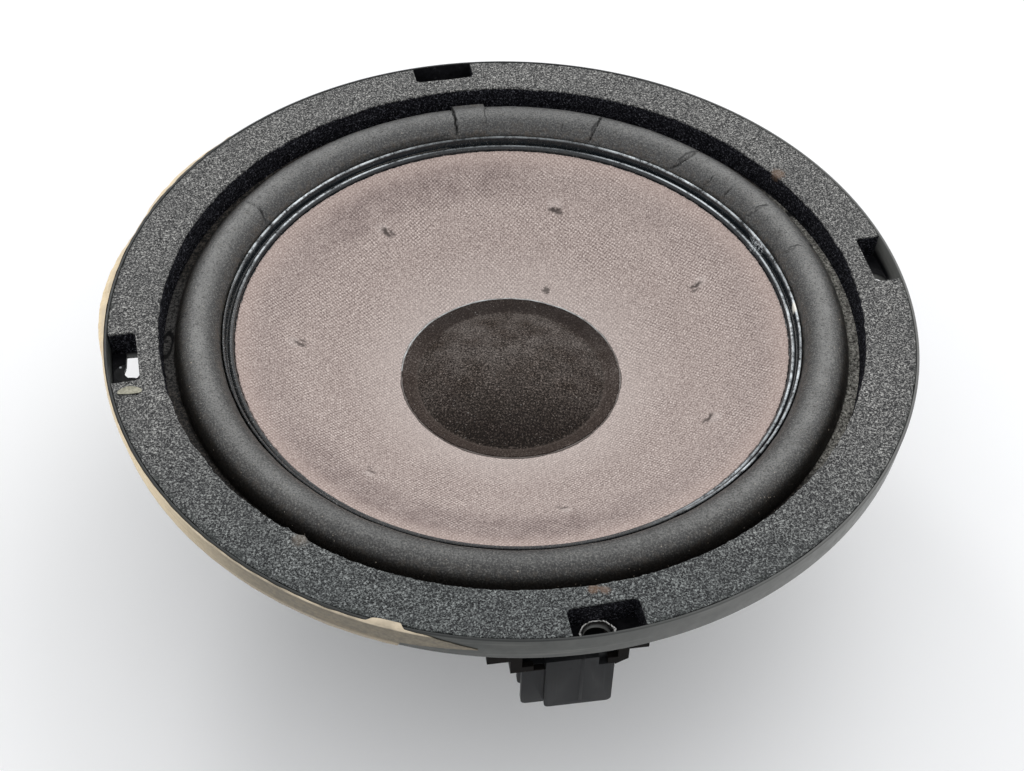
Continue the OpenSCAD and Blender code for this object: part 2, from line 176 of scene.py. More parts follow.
def prism(outline, low, high, place=lambda x, y, depth: (x, y, depth)):
    """A flat outline drawn out from low to high; place(x, y, depth) gives a point in the row's frame."""
    count = len(outline)
    verts = [place(x, y, d) for d in (low, high) for x, y in outline]
    faces = [[i, (i + 1) % count, count + (i + 1) % count, count + i] for i in range(count)]
    faces += [list(range(count))[::-1], list(range(count, 2 * count))]
    return np.array(verts), faces


def plug_prism(outline, low, high):
    """An outline of (u, z) drawn out along w in the connector's own directions."""
    return prism(outline, low, high, lambda u, z, w: plug_point(w, u, z))


def plug_block(w, u, z):
    """A box in the connector's own directions."""
    return plug_prism([(u[0], z[0]), (u[1], z[0]), (u[1], z[1]), (u[0], z[1])], *w)


def round_solid(circle_r, angle, rad, low, high, count=48):
    """An upright round solid whose middle lies on a circle round the axis."""
    x, y, _ = polar(circle_r, angle, 0)
    return prism(arc_points(x, y, rad, 0, 360 - 360 / count, count - 1), low, high)


def join(parts):
    """Several (points, faces) in one."""
    verts, faces, base = [], [], 0
    for v, f in parts:
        verts.append(v)
        faces += [[base + k for k in one] for one in f]
        base += len(v)
    return np.concatenate(verts), faces


def outward(obj):
    """Turn every face of a closed mesh outwards."""
    work = bmesh.new()
    work.from_mesh(obj.data)
    bmesh.ops.recalc_face_normals(work, faces=work.faces)
    work.to_mesh(obj.data)
    work.free()


def apply_modifiers(obj):
    """Bake the modifiers of a piece into its mesh."""
    depsgraph = bpy.context.evaluated_depsgraph_get()
    mesh = bpy.data.meshes.new_from_object(obj.evaluated_get(depsgraph))
    obj.modifiers.clear()
    obj.data = mesh


def combine(obj, operation, *parts):
    """Cut closed solids, given as (points, faces), out of a piece, or join them on."""
    tool = piece(obj.name + "_tool", *join(parts))
    outward(tool)
    step = obj.modifiers.new("combine", "BOOLEAN")
    step.operation = operation
    step.solver = "EXACT"
    step.object = tool
    apply_modifiers(obj)
    bpy.data.objects.remove(tool)


def bevel(obj, width):
    """Round the sharp edges of a piece."""
    step = obj.modifiers.new("bevel", "BEVEL")
    step.width = width * MM
    step.segments = 2
    step.limit_method = "ANGLE"
    step.angle_limit = math.radians(35)


def sharpen(obj, angle=38):
    """Shade smooth, but keep the edges that are sharper than the angle."""
    obj.data.set_sharp_from_angle(angle=math.radians(angle))


def soften(obj, width):
    """Round the sharp edges of a piece for good."""
    bevel(obj, width)
    apply_modifiers(obj)
    sharpen(obj)


def wave(seed, counts, sizes):
    """A smooth random curve round the circle: a function of the angle."""
    phases = np.random.default_rng(seed).uniform(0, 360, len(counts))

    def curve(angle):
        return sum(s * np.sin(np.radians(n * angle + p)) for n, s, p in zip(counts, sizes, phases))

    return curve


def smooth_step(low, high, value):
    """0 at low, 1 at high, and a smooth rise between."""
    t = np.clip((value - low) / (high - low), 0, 1)
    return t * t * (3 - 2 * t)


def peak(angle, centre, width):
    """1 at the centre angle, falling off smoothly either side."""
    return np.exp(-(angle_gap(angle, centre) / width) ** 2)


def angle_gap(angle, centre):
    """Signed distance in degrees from centre."""
    return (angle - centre + 180) % 360 - 180


def rim_lean(angle, z):
    """How far the rim's wall leans outwards: not at all at the back, most at the front."""
    return 0.45 * (1 - np.sin(np.radians(angle))) * smooth_step(1.4, 8.9, z)


# ---------- material helpers ----------


class Num:
    """A number in a material that varies from place to place, with plain arithmetic."""

    def __init__(self, look, socket):
        self.look = look
        self.socket = socket

    def calc(self, operation, *others):
        """The outcome of a math node fed with this value and the others."""
        node = self.look.add("ShaderNodeMath", enumerate((self, *others)), operation=operation)
        return Num(self.look, node.outputs[0])

    def __add__(self, other):
        return self.calc("ADD", other)

    def __sub__(self, other):
        return self.calc("SUBTRACT", other)

    def __mul__(self, other):
        return self.calc("MULTIPLY", other)

    def __pow__(self, power):
        return self.calc("POWER", power)

    def __abs__(self):
        return self.calc("ABSOLUTE")

    def most(self, other):
        """The larger of the two."""
        return self.calc("MAXIMUM", other)

    def remap(self, low, high, to_low=0.0, to_high=1.0, smooth=False):
        """Goes from to_low to to_high as this goes from low to high, and stays there beyond."""
        node = self.look.add("ShaderNodeMapRange", {
            "Value": self, "From Min": low, "From Max": high, "To Min": to_low, "To Max": to_high},
            interpolation_type="SMOOTHSTEP" if smooth else "LINEAR")
        return Num(self.look, node.outputs[0])

    def near(self, place, *span, **more):
        """A remap of the distance from a place."""
        return abs(self - place).remap(*span, **more)


def oval(a, b, half_a, half_b):
    """Distance from the middle of an oval, 1 on the oval itself."""
    a, b = a * (1 / half_a), b * (1 / half_b)
    return (a * a + b * b).calc("SQRT")


class Look:
    """A material under construction. Places and sizes are in millimetres, angles in degrees."""

    def __init__(self, name, color, roughness, **sockets):
        self.material = bpy.data.materials.new(name)
        self.material.use_nodes = True
        self.tree = self.material.node_tree
        self.shader = self.tree.nodes["Principled BSDF"]
        self.put(Base_Color=(*color, 1), Roughness=roughness, **sockets)
        self.where = self.add("ShaderNodeTexCoord").outputs["Object"]
        split = self.add("ShaderNodeSeparateXYZ", {0: self.where})
        self.x, self.y, self.z = (Num(self, out) * (1 / MM) for out in split.outputs)
        self.radius = oval(self.x, self.y, 1, 1)
        self.angle = self.y.calc("ARCTAN2", self.x) * (180 / math.pi)

    def put(self, **sockets):
        """Set or link inputs of the shader."""
        for key, value in sockets.items():
            self.join(self.shader.inputs[key.replace("_", " ")], value)

    def join(self, socket, value):
        if isinstance(value, Num):
            value = value.socket
        if isinstance(value, bpy.types.NodeSocket):
            self.tree.links.new(value, socket)
        else:
            socket.default_value = value

    def add(self, kind, inputs=(), **settings):
        node = self.tree.nodes.new(kind)
        for key, value in settings.items():
            setattr(node, key, value)
        for key, value in dict(inputs).items():
            self.join(node.inputs[key], value)
        return node

    def noise(self, size, detail=2.0, rough=0.5, distortion=0.0, where=None):
        """Noise from 0 to 1 whose features are about size across; where is a vector in millimetres."""
        node = self.add("ShaderNodeTexNoise", {
            "Vector": where or self.where, "Scale": 1 / size if where else 1 / (size * MM), "Detail": detail,
            "Roughness": rough, "Distortion": distortion})
        return Num(self, node.outputs[0])

    def vector(self, x, y, z):
        return self.add("ShaderNodeCombineXYZ", {0: x, 1: y, 2: z}).outputs[0]

    def cells(self, size):
        """Distance from the nearest of points about size apart, in cell units."""
        node = self.add("ShaderNodeTexVoronoi", {"Vector": self.where, "Scale": 1 / (size * MM)})
        return Num(self, node.outputs["Distance"])

    def specks(self, size, spread, share):
        """1 in small round specks: size across, about spread apart, kept for this share of places."""
        node = self.add("ShaderNodeTexVoronoi", {"Vector": self.where, "Scale": 1 / (spread * MM)})
        close = Num(self, node.outputs["Distance"]).remap(size / spread * 0.5, size / spread * 0.3)
        pick = self.add("ShaderNodeSeparateColor", {0: node.outputs["Color"]}).outputs[0]
        return close * Num(self, pick).calc("LESS_THAN", share)

    def mix(self, factor, a, b, blend="MIX"):
        node = self.add("ShaderNodeMix", {0: factor}, data_type="RGBA", blend_type=blend)
        for socket, value in ((node.inputs[6], a), (node.inputs[7], b)):
            self.join(socket, (*value, 1) if isinstance(value, tuple) else value)
        return node.outputs[2]

    def paint(self, factor, color, blend="MIX"):
        """Lay a colour over the base colour."""
        self.base = self.mix(factor, self.base, color, blend)

    def ramp(self, value, *stops):
        """Colours along a value: stops of (place, colour)."""
        node = self.add("ShaderNodeValToRGB", {0: value})
        marks = node.color_ramp.elements
        while len(marks) < len(stops):
            marks.new(0.5)
        for mark, (place, color) in zip(marks, stops):
            mark.position = place
            mark.color = (*color, 1)
        return node.outputs[0]

    def bump(self, height, depth, strength, after=None):
        """A bump whose height of 1 is depth millimetres."""
        inputs = {"Height": height, "Distance": depth * MM, "Strength": strength}
        if after is not None:
            inputs["Normal"] = after
        return self.add("ShaderNodeBump", inputs).outputs[0]

    def spot(self, x, y, z, rad, ragged, grain):
        """1 near a point, fading out raggedly at rad."""
        gap = Num(self, self.add("ShaderNodeVectorMath", {
            0: self.where, 1: (x * MM, y * MM, z * MM)}, operation="DISTANCE").outputs["Value"])
        gap = gap * (1 / (rad * MM)) + self.noise(grain, 3) * ragged
        return gap.remap(1 + ragged * 0.5, 0.4 + ragged * 0.5, smooth=True)

    def crack_line(self, at, slant, low, high, half):
        """1 along a thin wandering line across a ring, near angle at, between radii low and high."""
        wander = (self.noise(2.2, 2) - 0.5) * 1.6
        lean = (self.radius - (low + high) / 2) * (slant / (high - low))
        line = (self.angle + wander + lean).near(at, half, half * 0.35)
        return line * self.radius.remap(low, low + 0.7) * self.radius.remap(high, high - 0.7)

    def crease(self, x, y, turn, reach, half):
        """1 along a short wandering crease through (x, y), turned by turn."""
        c, s = math.cos(math.radians(turn)), math.sin(math.radians(turn))
        dx, dy = self.x - x, self.y - y
        wander = (self.noise(1.3, 3, 0.7) - 0.5) * (2.4 * half)
        line = abs(dy * c - dx * s + wander).remap(half, half * 0.3)
        return line * abs(dx * c + dy * s).remap(reach, reach * 0.45)

    def streaks(self, length, width):
        """Noise drawn out around the rim."""
        around = self.angle * (RIM_R * math.pi / 180 * width / length)
        return self.noise(width, 3, where=self.vector(around, self.radius, self.z))

    def weave(self, pitch, turn):
        """A plain weave: over is 1 where the warp is on top, crown is 1 along the threads' middles."""
        wobble = (self.noise(6, 2) - 0.5) * (0.9 * pitch) + (self.noise(1.1, 2) - 0.5) * (0.8 * pitch)
        other = (self.noise(1.5, 2) - 0.5) * (0.8 * pitch)
        c, s = math.cos(math.radians(turn)), math.sin(math.radians(turn))
        step = math.pi / pitch
        u = ((self.x * c + self.y * s + wobble) * step).calc("SINE")
        v = ((self.y * c - self.x * s + other) * step).calc("SINE")
        return (u * v).remap(-1, 1), abs(u) ** 0.5 * abs(v) ** 0.5

    def complete(self, normal, rough=None, **sockets):
        """Link the base colour, the bump, the roughness and any other inputs, and hand over the material."""
        if rough:
            sockets["Roughness"] = rough
        self.put(Base_Color=self.base, Normal=normal, **sockets)
        return self.material


# ---------- materials of the visible parts ----------

# Pale scuffs on the rim's front: place across in millimetres, strength
SCUFFS = ((-24.0, 0.6), (-17.5, 0.5), (-11.5, 0.5))
# Stains on the foam: place, radius and colour
STAINS = ((19.6, -86.3, 1.9, (0.24, 0.15, 0.10)), (22.0, -86.6, 1.5, (0.22, 0.14, 0.10)),
          (21.0, -91.6, 1.5, (0.18, 0.14, 0.10)), (-45.2, -75.6, 2.4, (0.20, 0.17, 0.14)),
          (70.0, 54.2, 2.6, (0.20, 0.125, 0.08)))
# Painted shade along the roll's cracks and the splice's edges, as dark lines: angle, slant in degrees, inner
# and outer radius, half width in degrees
CRACK_SHADES = ((53.4, 2.6, 74.5, 82.6, 0.40), (74.0, 1.2, 74.5, 83.0, 0.34), (46.0, 0.8, 73.6, 76.3, 0.28),
             (41.0, 0.8, 74.0, 76.5, 0.28), (33.0, 1.2, 75.6, 79.4, 0.26), (20.3, 0.8, 75.5, 79.5, 0.24),
             (103.5, 0.3, 74.0, 83.6, 0.34), (97.1, 0.2, 74.0, 82.5, 0.24), (153.0, 1.6, 72.8, 76.6, 0.34),
             (183.0, 2.6, 80.2, 84.0, 0.20), (66.5, 1.5, 79.8, 83.4, 0.24))
DENT_R = 54.3
DENT_ANGLE = 27
# How plainly each dent in the facing shows, from the first one round, and which way its crease runs
DENT_SIZES = (1.0, 1.1, 1.0, 0.9, 0.7, 0.7, 1.0)
DENT_TURNS = (15, -10, -38, -8, -25, 20, 60)
DENT_STEP = 360 / len(DENT_SIZES)
# A dent's two creases, painted dark as shade: place along the dents' circle and inside it, reach, half width,
# strength
DENT_CREASES = ((0.4, 0.4, 2.1, 0.80, 0.95), (-0.9, 1.1, 1.3, 0.55, 0.8))


def basket_look():
    """Satin black moulding, rubbed grey along the rim, painted lighter towards the right as painted light,
    with painted shade under the flange and on the flange and the rim's inner wall in the notches, and a
    painted highlight at the broken left hole.
    """
    look = Look("basket_moulding", (0.07, 0.072, 0.068), 0.42)
    z, radius = look.z, look.radius
    rub = look.streaks(26, 1.1)
    cloud = look.noise(9, 4, 0.6)
    look.base = look.mix(cloud.remap(0.3, 0.7), (0.037, 0.040, 0.037), (0.058, 0.060, 0.055))
    look.paint(rub.remap(0.58, 0.76, 0, 0.6), (0.13, 0.13, 0.118))
    look.paint(look.specks(0.9, 7, 0.25) * rub.remap(0.4, 0.6) * 0.5, (0.33, 0.33, 0.3))
    look.paint(z.remap(8.55, 8.75), (0.010, 0.012, 0.011))
    # painted light: the moulding is painted lighter towards the right, where the lamps fall on it
    look.paint(look.x.remap(10, 85, 0, 0.55), (0.19, 0.19, 0.18))
    for x, tint in SCUFFS:
        y = -math.sqrt(RIM_R ** 2 - x ** 2)
        look.paint(look.spot(x, y, 4.6, 1.5, 1.2, 0.7) * tint, (0.26, 0.25, 0.21))
    # painted shade: the bowl's outer wall under the flange is painted dark brown
    look.paint(z.remap(-0.5, -1.2) * radius.remap(84.5, 86.0) * 0.75, (0.016, 0.013, 0.011))
    # painted shade with some grime: the flange's top and the rim's inner wall, seen in the notches, are
    # painted nearly black
    notch_floor = radius.remap(99.45, 99.35) * z.remap(1.0, 1.9)
    notch_shade_and_grime = look.ramp(look.noise(1.6, 4, 0.7), (0.35, (0.004, 0.004, 0.005)),
                      (0.62, (0.012, 0.012, 0.014)), (0.8, (0.08, 0.078, 0.08)))
    look.paint(notch_floor, notch_shade_and_grime)
    # painted highlight: a small pale spot on the torn residue at the broken left hole
    look.paint(look.spot(-95.6, -18.9, 1.8, 0.42, 0.4, 0.5), (0.75, 0.77, 0.8))
    fine = look.bump(look.noise(0.35, 2), 0.012, 0.6)
    return look.complete(look.bump(rub, 0.05, 0.5, fine), look.noise(2.2, 3).remap(0.3, 0.7, 0.36, 0.52),
                         Specular_IOR_Level=notch_floor.remap(0, 1, 0.5, 0.12))


def foam_look():
    """Open-cell foam: grey strands round dark pits, with dust on its face; painted shade makes it darker
    towards the front, nearly black on its walls and in the bore, and darker at its outer edge.
    """
    look = Look("gasket_foam", (0.13, 0.13, 0.13), 0.95)
    height = look.noise(0.44, 1.8, 0.6, 1.0) * 0.8 + look.cells(0.44) * 0.25
    level = height.remap(0.36, 0.78)
    look.base = look.ramp(level, (0.0, (0.006, 0.006, 0.006)), (0.30, (0.042, 0.042, 0.043)),
                          (0.53, (0.20, 0.198, 0.19)), (1.0, (0.66, 0.65, 0.62)))
    look.paint(look.noise(12, 3).remap(0.35, 0.7, 0, 0.25), (0.055, 0.056, 0.057))
    # painted shade: the foam is painted darker and cooler towards the front
    look.paint(look.y.remap(-25, -95, 0, 0.58, smooth=True), (0.33, 0.41, 0.44), "MULTIPLY")
    # painted shade: the foam's walls, the bore among them, get a much darker copy of the face's colours
    wall = look.z.remap(8.75, 8.3)
    look.paint(wall, look.ramp(level, (0.0, (0.001, 0.001, 0.002)), (0.42, (0.005, 0.005, 0.007)),
                               (0.66, (0.040, 0.041, 0.050)), (1.0, (0.18, 0.18, 0.20))))
    for x, y, rad, tint in STAINS:
        look.paint(look.spot(x, y, FOAM_TOP, rad, 0.9, 1.1) * 0.5, tint)
    # painted shade: the foam's outer edge next to the rim's lip is painted darker
    edge = look.radius.remap(98.4, 99.0) * look.noise(3, 3).remap(0.45, 0.6)
    look.paint(edge * 0.5, (0.03, 0.035, 0.033))
    return look.complete(look.bump(height, 0.42, 0.8), Specular_IOR_Level=wall.remap(0, 1, 0.4, 0.08))


def surround_look():
    """Dull foam-rubber sheet: dark flanks painted darker towards the front, a paler crown of dust and painted
    highlight, brown grit at its feet, painted shade at its outer foot and painted shade along its cracks.
    """
    look = Look("surround_sheet", (0.07, 0.071, 0.07), 0.5)
    x, y, radius = look.x, look.y, look.radius
    grain = look.noise(0.42, 2.5, 0.7)
    # painted shade: the base colour is darker towards the front
    look.base = look.mix(y.remap(66, -10, smooth=True), (0.050, 0.051, 0.052), (0.019, 0.019, 0.019))
    # dust and a painted highlight on the roll's crown, painted brighter at the left and right and dimmer at
    # the front
    crown = (radius.remap(73.2, 77.6, smooth=True) * radius.remap(82.8, 78.4, smooth=True)) ** 2.1
    dust_and_painted_light = crown * abs(x).remap(15, 75, 0.46, 1.0) * look.noise(9, 4, 0.6).remap(0.28, 0.66, 0.46, 1.0)
    look.paint(dust_and_painted_light * y.remap(-35, -75, 1.0, 0.78), (0.196, 0.195, 0.188))
    look.paint(look.noise(1.5, 4, 0.75).remap(0.50, 0.66, 0, 0.55), (0.060, 0.056, 0.050))
    look.paint(grain.remap(0.50, 0.70, 0, 0.62), (0.235, 0.23, 0.215))
    look.paint(grain.remap(0.49, 0.32, 0, 0.85), (0.008, 0.008, 0.008))
    foot = radius.remap(80.0, 83.6).most(radius.remap(75.2, 72.9))
    look.paint(look.noise(1.6, 4, 0.75).remap(0.47, 0.62) * foot * 0.6, (0.085, 0.066, 0.048))
    shade = radius.remap(81.0, 83.4, smooth=True) * y.remap(45, -25).most(x.remap(-30, -66))
    look.paint(shade * 0.88, (0.008, 0.007, 0.006))
    dust = look.specks(0.32, 1.2, 0.5).most(look.specks(0.5, 3.0, 0.5)) * look.noise(5, 3).remap(0.42, 0.58)
    look.paint(dust * radius.remap(77, 82, 0.3, 0.85), (0.44, 0.38, 0.31))
    look.paint(radius.remap(84.15, 84.4), ledge_color(look))
    look.paint(look.spot(73.2, 45.8, 2.0, 2.0, 0.8, 0.8), (0.006, 0.006, 0.006))
    # painted shade: thin dark lines along the cracks and the splice's edges
    for line in CRACK_SHADES:
        look.paint(look.crack_line(*line) * 0.9, (0.004, 0.004, 0.004))
    bumps = look.bump(look.noise(2.5, 3), 0.10, 0.6, look.bump(grain, 0.12, 0.8))
    return look.complete(bumps, look.noise(1.2, 3).remap(0.3, 0.7, 0.40, 0.58),
                         Specular_IOR_Level=shade.remap(0, 1, 0.5, 0.12))


def ledge_color(look):
    """The surround's outer ledge: pale grit at the right, painted shade that leaves it nearly black
    elsewhere, and a curled tongue's outline at the left.
    """
    x, y = look.x, look.y
    specks = look.noise(0.6, 3, 0.75)
    grit = look.ramp(specks, (0.36, (0.010, 0.009, 0.008)), (0.47, (0.125, 0.12, 0.105)),
                     (0.58, (0.32, 0.31, 0.28)), (0.70, (0.66, 0.64, 0.57)))
    # painted shade: outside the pale grit the ledge is painted nearly black, with a few specks
    dark = look.mix(specks.remap(0.46, 0.64), (0.010, 0.010, 0.010), (0.085, 0.074, 0.064))
    upper = y.remap(-28, -20) * y.remap(16, 6) * specks.remap(0.40, 0.6)
    dark = look.mix(upper, dark, (0.095, 0.092, 0.088))
    tongue = oval(x + 85.4, y + 11.0, 1.3, 4.2) + look.noise(1.5, 3) * 0.35
    dark = look.mix(tongue.near(1.15, 0.30, 0.15), dark, (0.003, 0.003, 0.003))
    return look.mix(x.remap(58, 70) * y.near(4, 54, 44), dark, grit)


def gloss_look():
    """Glossy black moulded edge with pale specks, broken painted highlights along its ridges, a chip and a
    scraped place.
    """
    look = Look("cone_moulding", (0.012, 0.015, 0.018), 0.14)
    x, y, radius = look.x, look.y, look.radius
    dust = look.specks(0.34, 1.0, 0.5).most(look.specks(0.22, 0.6, 0.3))
    left = (x.remap(-10, -50) * y.remap(30, -10)).remap(0, 1, 0.3, 1.0)
    scuff = look.noise(0.7, 4, 0.75).remap(0.60, 0.74)
    look.base = look.mix(dust * left * 0.8, (0.010, 0.013, 0.016), (0.42, 0.43, 0.43))
    look.paint(scuff * left * 0.6, (0.20, 0.21, 0.215))
    # painted highlight: broken pale lines along the two ridges on the side the lamps light
    outer = radius.near(72.1, 0.42, 0.20) * look.z.remap(3.4, 3.8)
    inner = radius.near(70.5, 0.36, 0.16)
    highlight_breaks = look.noise(4.5, 6, 0.85).remap(0.40, 0.54) * look.noise(14, 2).remap(0.35, 0.6, 0.5, 1.0)
    lit = y.remap(5, 25).most(x.remap(30, 60)) * x.near(-5, 18, 42, 0.25, 1.0)
    look.paint(outer.most(inner) * highlight_breaks * lit, (0.86, 0.92, 0.95))
    look.paint(look.noise(0.5, 3, 0.8).remap(0.5, 0.66) * lit.remap(0.5, 0.0, 0, 0.55), (0.13, 0.115, 0.095))
    look.paint(look.spot(71.4, 8.4, 3.8, 2.1, 0.7, 0.5), (0.90, 0.88, 0.80))
    scraped = look.spot(64.2, 33.2, 3.6, 4.2, 1.0, 0.5) * look.noise(0.7, 3, 0.8).remap(0.50, 0.60)
    look.paint(scraped, (0.80, 0.84, 0.86))
    return look.complete(look.bump(look.noise(0.9, 3), 0.05, 0.6, look.bump(scuff, 0.05, 0.5)),
                         (look.noise(1.4, 3) + dust).remap(0.35, 1.2, 0.10, 0.5))


def cone_cloth_look():
    """Faded pink-grey plain weave with darker stains, a dirty band near its edge, and dents with a painted
    highlight on their swells and painted shade in their creases.
    """
    look = Look("cone_weave", (0.37, 0.30, 0.27), 0.9, Sheen_Weight=0.04, Specular_IOR_Level=0.2)
    radius = look.radius
    over, crown = look.weave(0.56, 6)
    clear = look.noise(15, 3).remap(0.38, 0.62, 0.10, 0.30)
    thread = (over - 0.5) * clear + crown * 0.08 + look.noise(0.40, 2.5, 0.8) * 1.3
    look.base = look.ramp(thread.remap(0.415, 1.0),
                          (0.0, (0.115, 0.084, 0.077)), (0.42, (0.335, 0.272, 0.249)),
                          (0.7, (0.52, 0.435, 0.400)), (1.0, (0.80, 0.71, 0.66)))
    band = radius.remap(53, 60, smooth=True) * radius.remap(69, 64.5, smooth=True)
    back = look.angle.near(118, 52, 15, smooth=True)
    front = look.angle.near(-102, 65, 25, smooth=True)
    dirt = band * back.most(front).most(0.3) * look.noise(5, 4, 0.6).remap(0.30, 0.62, 0.25, 1.0)
    look.paint(dirt * 0.58, (0.46, 0.42, 0.43), "MULTIPLY")
    look.paint(look.noise(17, 4, 0.6).remap(0.46, 0.68) * 0.13, (0.70, 0.66, 0.66), "MULTIPLY")
    look.paint(radius.remap(62.5, 69.4, smooth=True) * 0.30, (0.50, 0.38, 0.335))
    look.paint(radius.remap(69.2, 69.6) * look.noise(0.9, 3).remap(0.42, 0.6) * 0.85, (0.03, 0.028, 0.027))
    look.paint(radius.remap(44, 28) * 0.3, (0.68, 0.60, 0.56))
    look.paint(look.specks(0.45, 6.5, 0.28).most(look.specks(0.3, 2.6, 0.12)) * 0.6, (0.06, 0.05, 0.047))
    look.paint(look.specks(0.35, 3.1, 0.2) * 0.5, (0.62, 0.58, 0.54))
    for k, (size, turn) in enumerate(zip(DENT_SIZES, DENT_TURNS)):
        at = DENT_ANGLE + k * DENT_STEP
        # painted highlight on the swell beside each dent
        swell = look.spot(*turned(DENT_R + 1.1, 0.6, -5.2, at), 2.4 * size, 0.8, 1.5)
        look.paint(swell * 0.26, (0.66, 0.585, 0.55))
        # painted shade in each dent's two creases
        for aside, inward, reach, half, depth in DENT_CREASES:
            x, y, _ = turned(DENT_R - inward, aside, 0, at)
            mark = look.crease(x, y, turn, reach * size, half * size)
            look.paint(mark * (depth * size), (0.085, 0.068, 0.062))
    look.paint(look.spot(8.8, 30.8, -15.2, 1.6, 1.3, 0.8) * 0.8, (0.06, 0.05, 0.045))
    return look.complete(look.bump(thread, 0.12, 0.7))


def cap_cloth_look():
    """Coarse dark weave with pale dust and short fibres, its edge browner than its dome; painted light makes
    it lighter towards the back, painted shade darkens the dome's near side and the edge's far side, and a
    painted highlight runs along the dome's rim at the front.
    """
    look = Look("cap_weave", (0.06, 0.05, 0.045), 0.85, Specular_IOR_Level=0.12)
    y, radius = look.y, look.radius
    over, crown = look.weave(0.6, 38)
    fibre = look.noise(0.42, 2.5, 0.85)
    thread = over * 0.07 + crown * 0.05 + fibre * 1.4
    look.base = look.ramp(thread.remap(0.48, 1.10),
                          (0.0, (0.003, 0.002, 0.002)), (0.45, (0.020, 0.0145, 0.0115)),
                          (0.68, (0.085, 0.065, 0.053)), (1.0, (0.36, 0.31, 0.28)))
    cloud = look.noise(8, 4, 0.6)
    # dust, painted heavier towards the back as painted light
    dust_and_painted_light = cloud.remap(0.33, 0.66) * y.remap(-20, 16, 0.06, 1.0) * fibre.remap(0.40, 0.63, 0.0, 0.9)
    look.paint(dust_and_painted_light, (0.235, 0.208, 0.192))
    # painted shade on the dome's near side
    look.paint(y.remap(-5, -21, 0, 0.5) * radius.remap(24.4, 23.6), (0.005, 0.004, 0.004))
    edge = radius.remap(24.0, 24.7)
    look.paint(edge * fibre.remap(0.3, 0.7, 0.6, 0.2), (0.056, 0.040, 0.034))
    # painted shade on the edge ring's far side
    look.paint(edge * y.remap(4, 20, 0, 0.6), (0.018, 0.014, 0.013))
    # painted highlight along the dome's rim, strongest at the front
    look.paint(radius.near(24.5, 0.5, 0.1) * y.remap(12, -6, 0.05, 0.35), (0.10, 0.08, 0.07))
    dust = look.specks(0.28, 1.1, 0.3).most(look.specks(0.42, 2.7, 0.3)) * cloud.remap(0.3, 0.6, 0.25, 1)
    look.paint(dust * 0.6, (0.40, 0.38, 0.36))
    return look.complete(look.bump(thread, 0.14, 0.8), fibre.remap(0.3, 0.7, 0.7, 0.95))


def adhesive_look():
    """Dried clear cement, whitish where it is thick."""
    look = Look("cement", (0.4, 0.4, 0.38), 0.3, Coat_Weight=0.25, Coat_Roughness=0.25)
    cloud = look.noise(2.5, 3, 0.6)
    thick = look.mix(cloud.remap(0.35, 0.65), (0.22, 0.21, 0.20), (0.56, 0.58, 0.58))
    look.base = look.mix(look.angle.near(120, 105, 60, smooth=True), (0.10, 0.08, 0.07), thick)
    return look.complete(look.bump(look.noise(0.7, 3), 0.08, 0.7), cloud.remap(0.3, 0.7, 0.2, 0.5))


def plug_look():
    """Satin black plug moulding with fine draw lines and handling marks."""
    look = Look("plug_moulding", (0.05, 0.053, 0.055), 0.5, Specular_IOR_Level=0.2)
    c, s = math.cos(math.radians(10)), math.sin(math.radians(10))
    lines = look.noise(0.8, 3, 0.6, where=look.vector(look.x * c + look.y * s, look.z * 0.06, 0.0))
    cloud = look.noise(6, 4, 0.6)
    look.base = look.mix(cloud.remap(0.35, 0.65), (0.0065, 0.007, 0.0075), (0.0125, 0.013, 0.014))
    look.paint(lines.remap(0.58, 0.72, 0, 0.5), (0.032, 0.033, 0.035))
    look.paint(look.spot(*plug_point(95, -1.1, -11.1), 0.75, 0.5, 0.4), (0.008, 0.008, 0.009))
    return look.complete(look.bump(look.noise(0.3, 2), 0.01, 0.6, look.bump(lines, 0.03, 0.6)),
                         cloud.remap(0.3, 0.7, 0.34, 0.5))


def rivet_look():
    """Torn bright aluminium, dark at its foot, and painted nearly black inside as shade."""
    look = Look("torn_rivet", (0.7, 0.7, 0.69), 0.28, Metallic=0.85)
    grain = look.noise(0.5, 4, 0.7)
    metal = look.mix(grain.remap(0.35, 0.62), (0.40, 0.39, 0.36), (0.95, 0.95, 0.93))
    look.base = look.mix(look.z.remap(2.3, 2.85), (0.05, 0.048, 0.045), metal)
    c, s = math.cos(math.radians(TORN_ANGLE)), math.sin(math.radians(TORN_ANGLE))
    place = oval(look.x * c + look.y * s - RIVET_R, look.y * c - look.x * s, *COLLAR_HALF)
    # painted shade: the collar's inner faces are painted nearly black
    look.paint(place.remap(0.965, 0.92), (0.012, 0.011, 0.010))
    return look.complete(look.bump(grain, 0.2, 0.9), grain.remap(0.3, 0.7, 0.2, 0.5))


def tape_look():
    """Old cream paper tape, browner towards its torn end, with a painted highlight along its top edge."""
    look = Look("paper_tape", (0.5, 0.4, 0.24), 0.62)
    fibre = look.noise(1.0, 4, 0.65)
    strands = fibre.remap(0.35, 0.65)
    crease = look.streaks(14, 0.9)
    look.base = look.mix(strands, (0.72, 0.56, 0.34), (0.86, 0.72, 0.49))
    grimy = look.mix(strands, (0.10, 0.085, 0.062), (0.19, 0.165, 0.12))
    look.paint(look.y.remap(-52, -90, smooth=True), grimy)
    # painted highlight along the tape's rounded top edge
    look.paint(look.z.remap(7.9, 8.3) * look.noise(5, 3).remap(0.35, 0.6, 0.3, 0.9), (0.62, 0.52, 0.38))
    look.paint(look.z.remap(2.6, 1.9) * 0.45, (0.50, 0.43, 0.33))
    look.paint(crease.remap(0.56, 0.72, 0, 0.4), (0.26, 0.20, 0.12))
    return look.complete(look.bump(crease, 0.12, 0.6, look.bump(fibre, 0.04, 0.7)),
                         fibre.remap(0.3, 0.7, 0.5, 0.75))


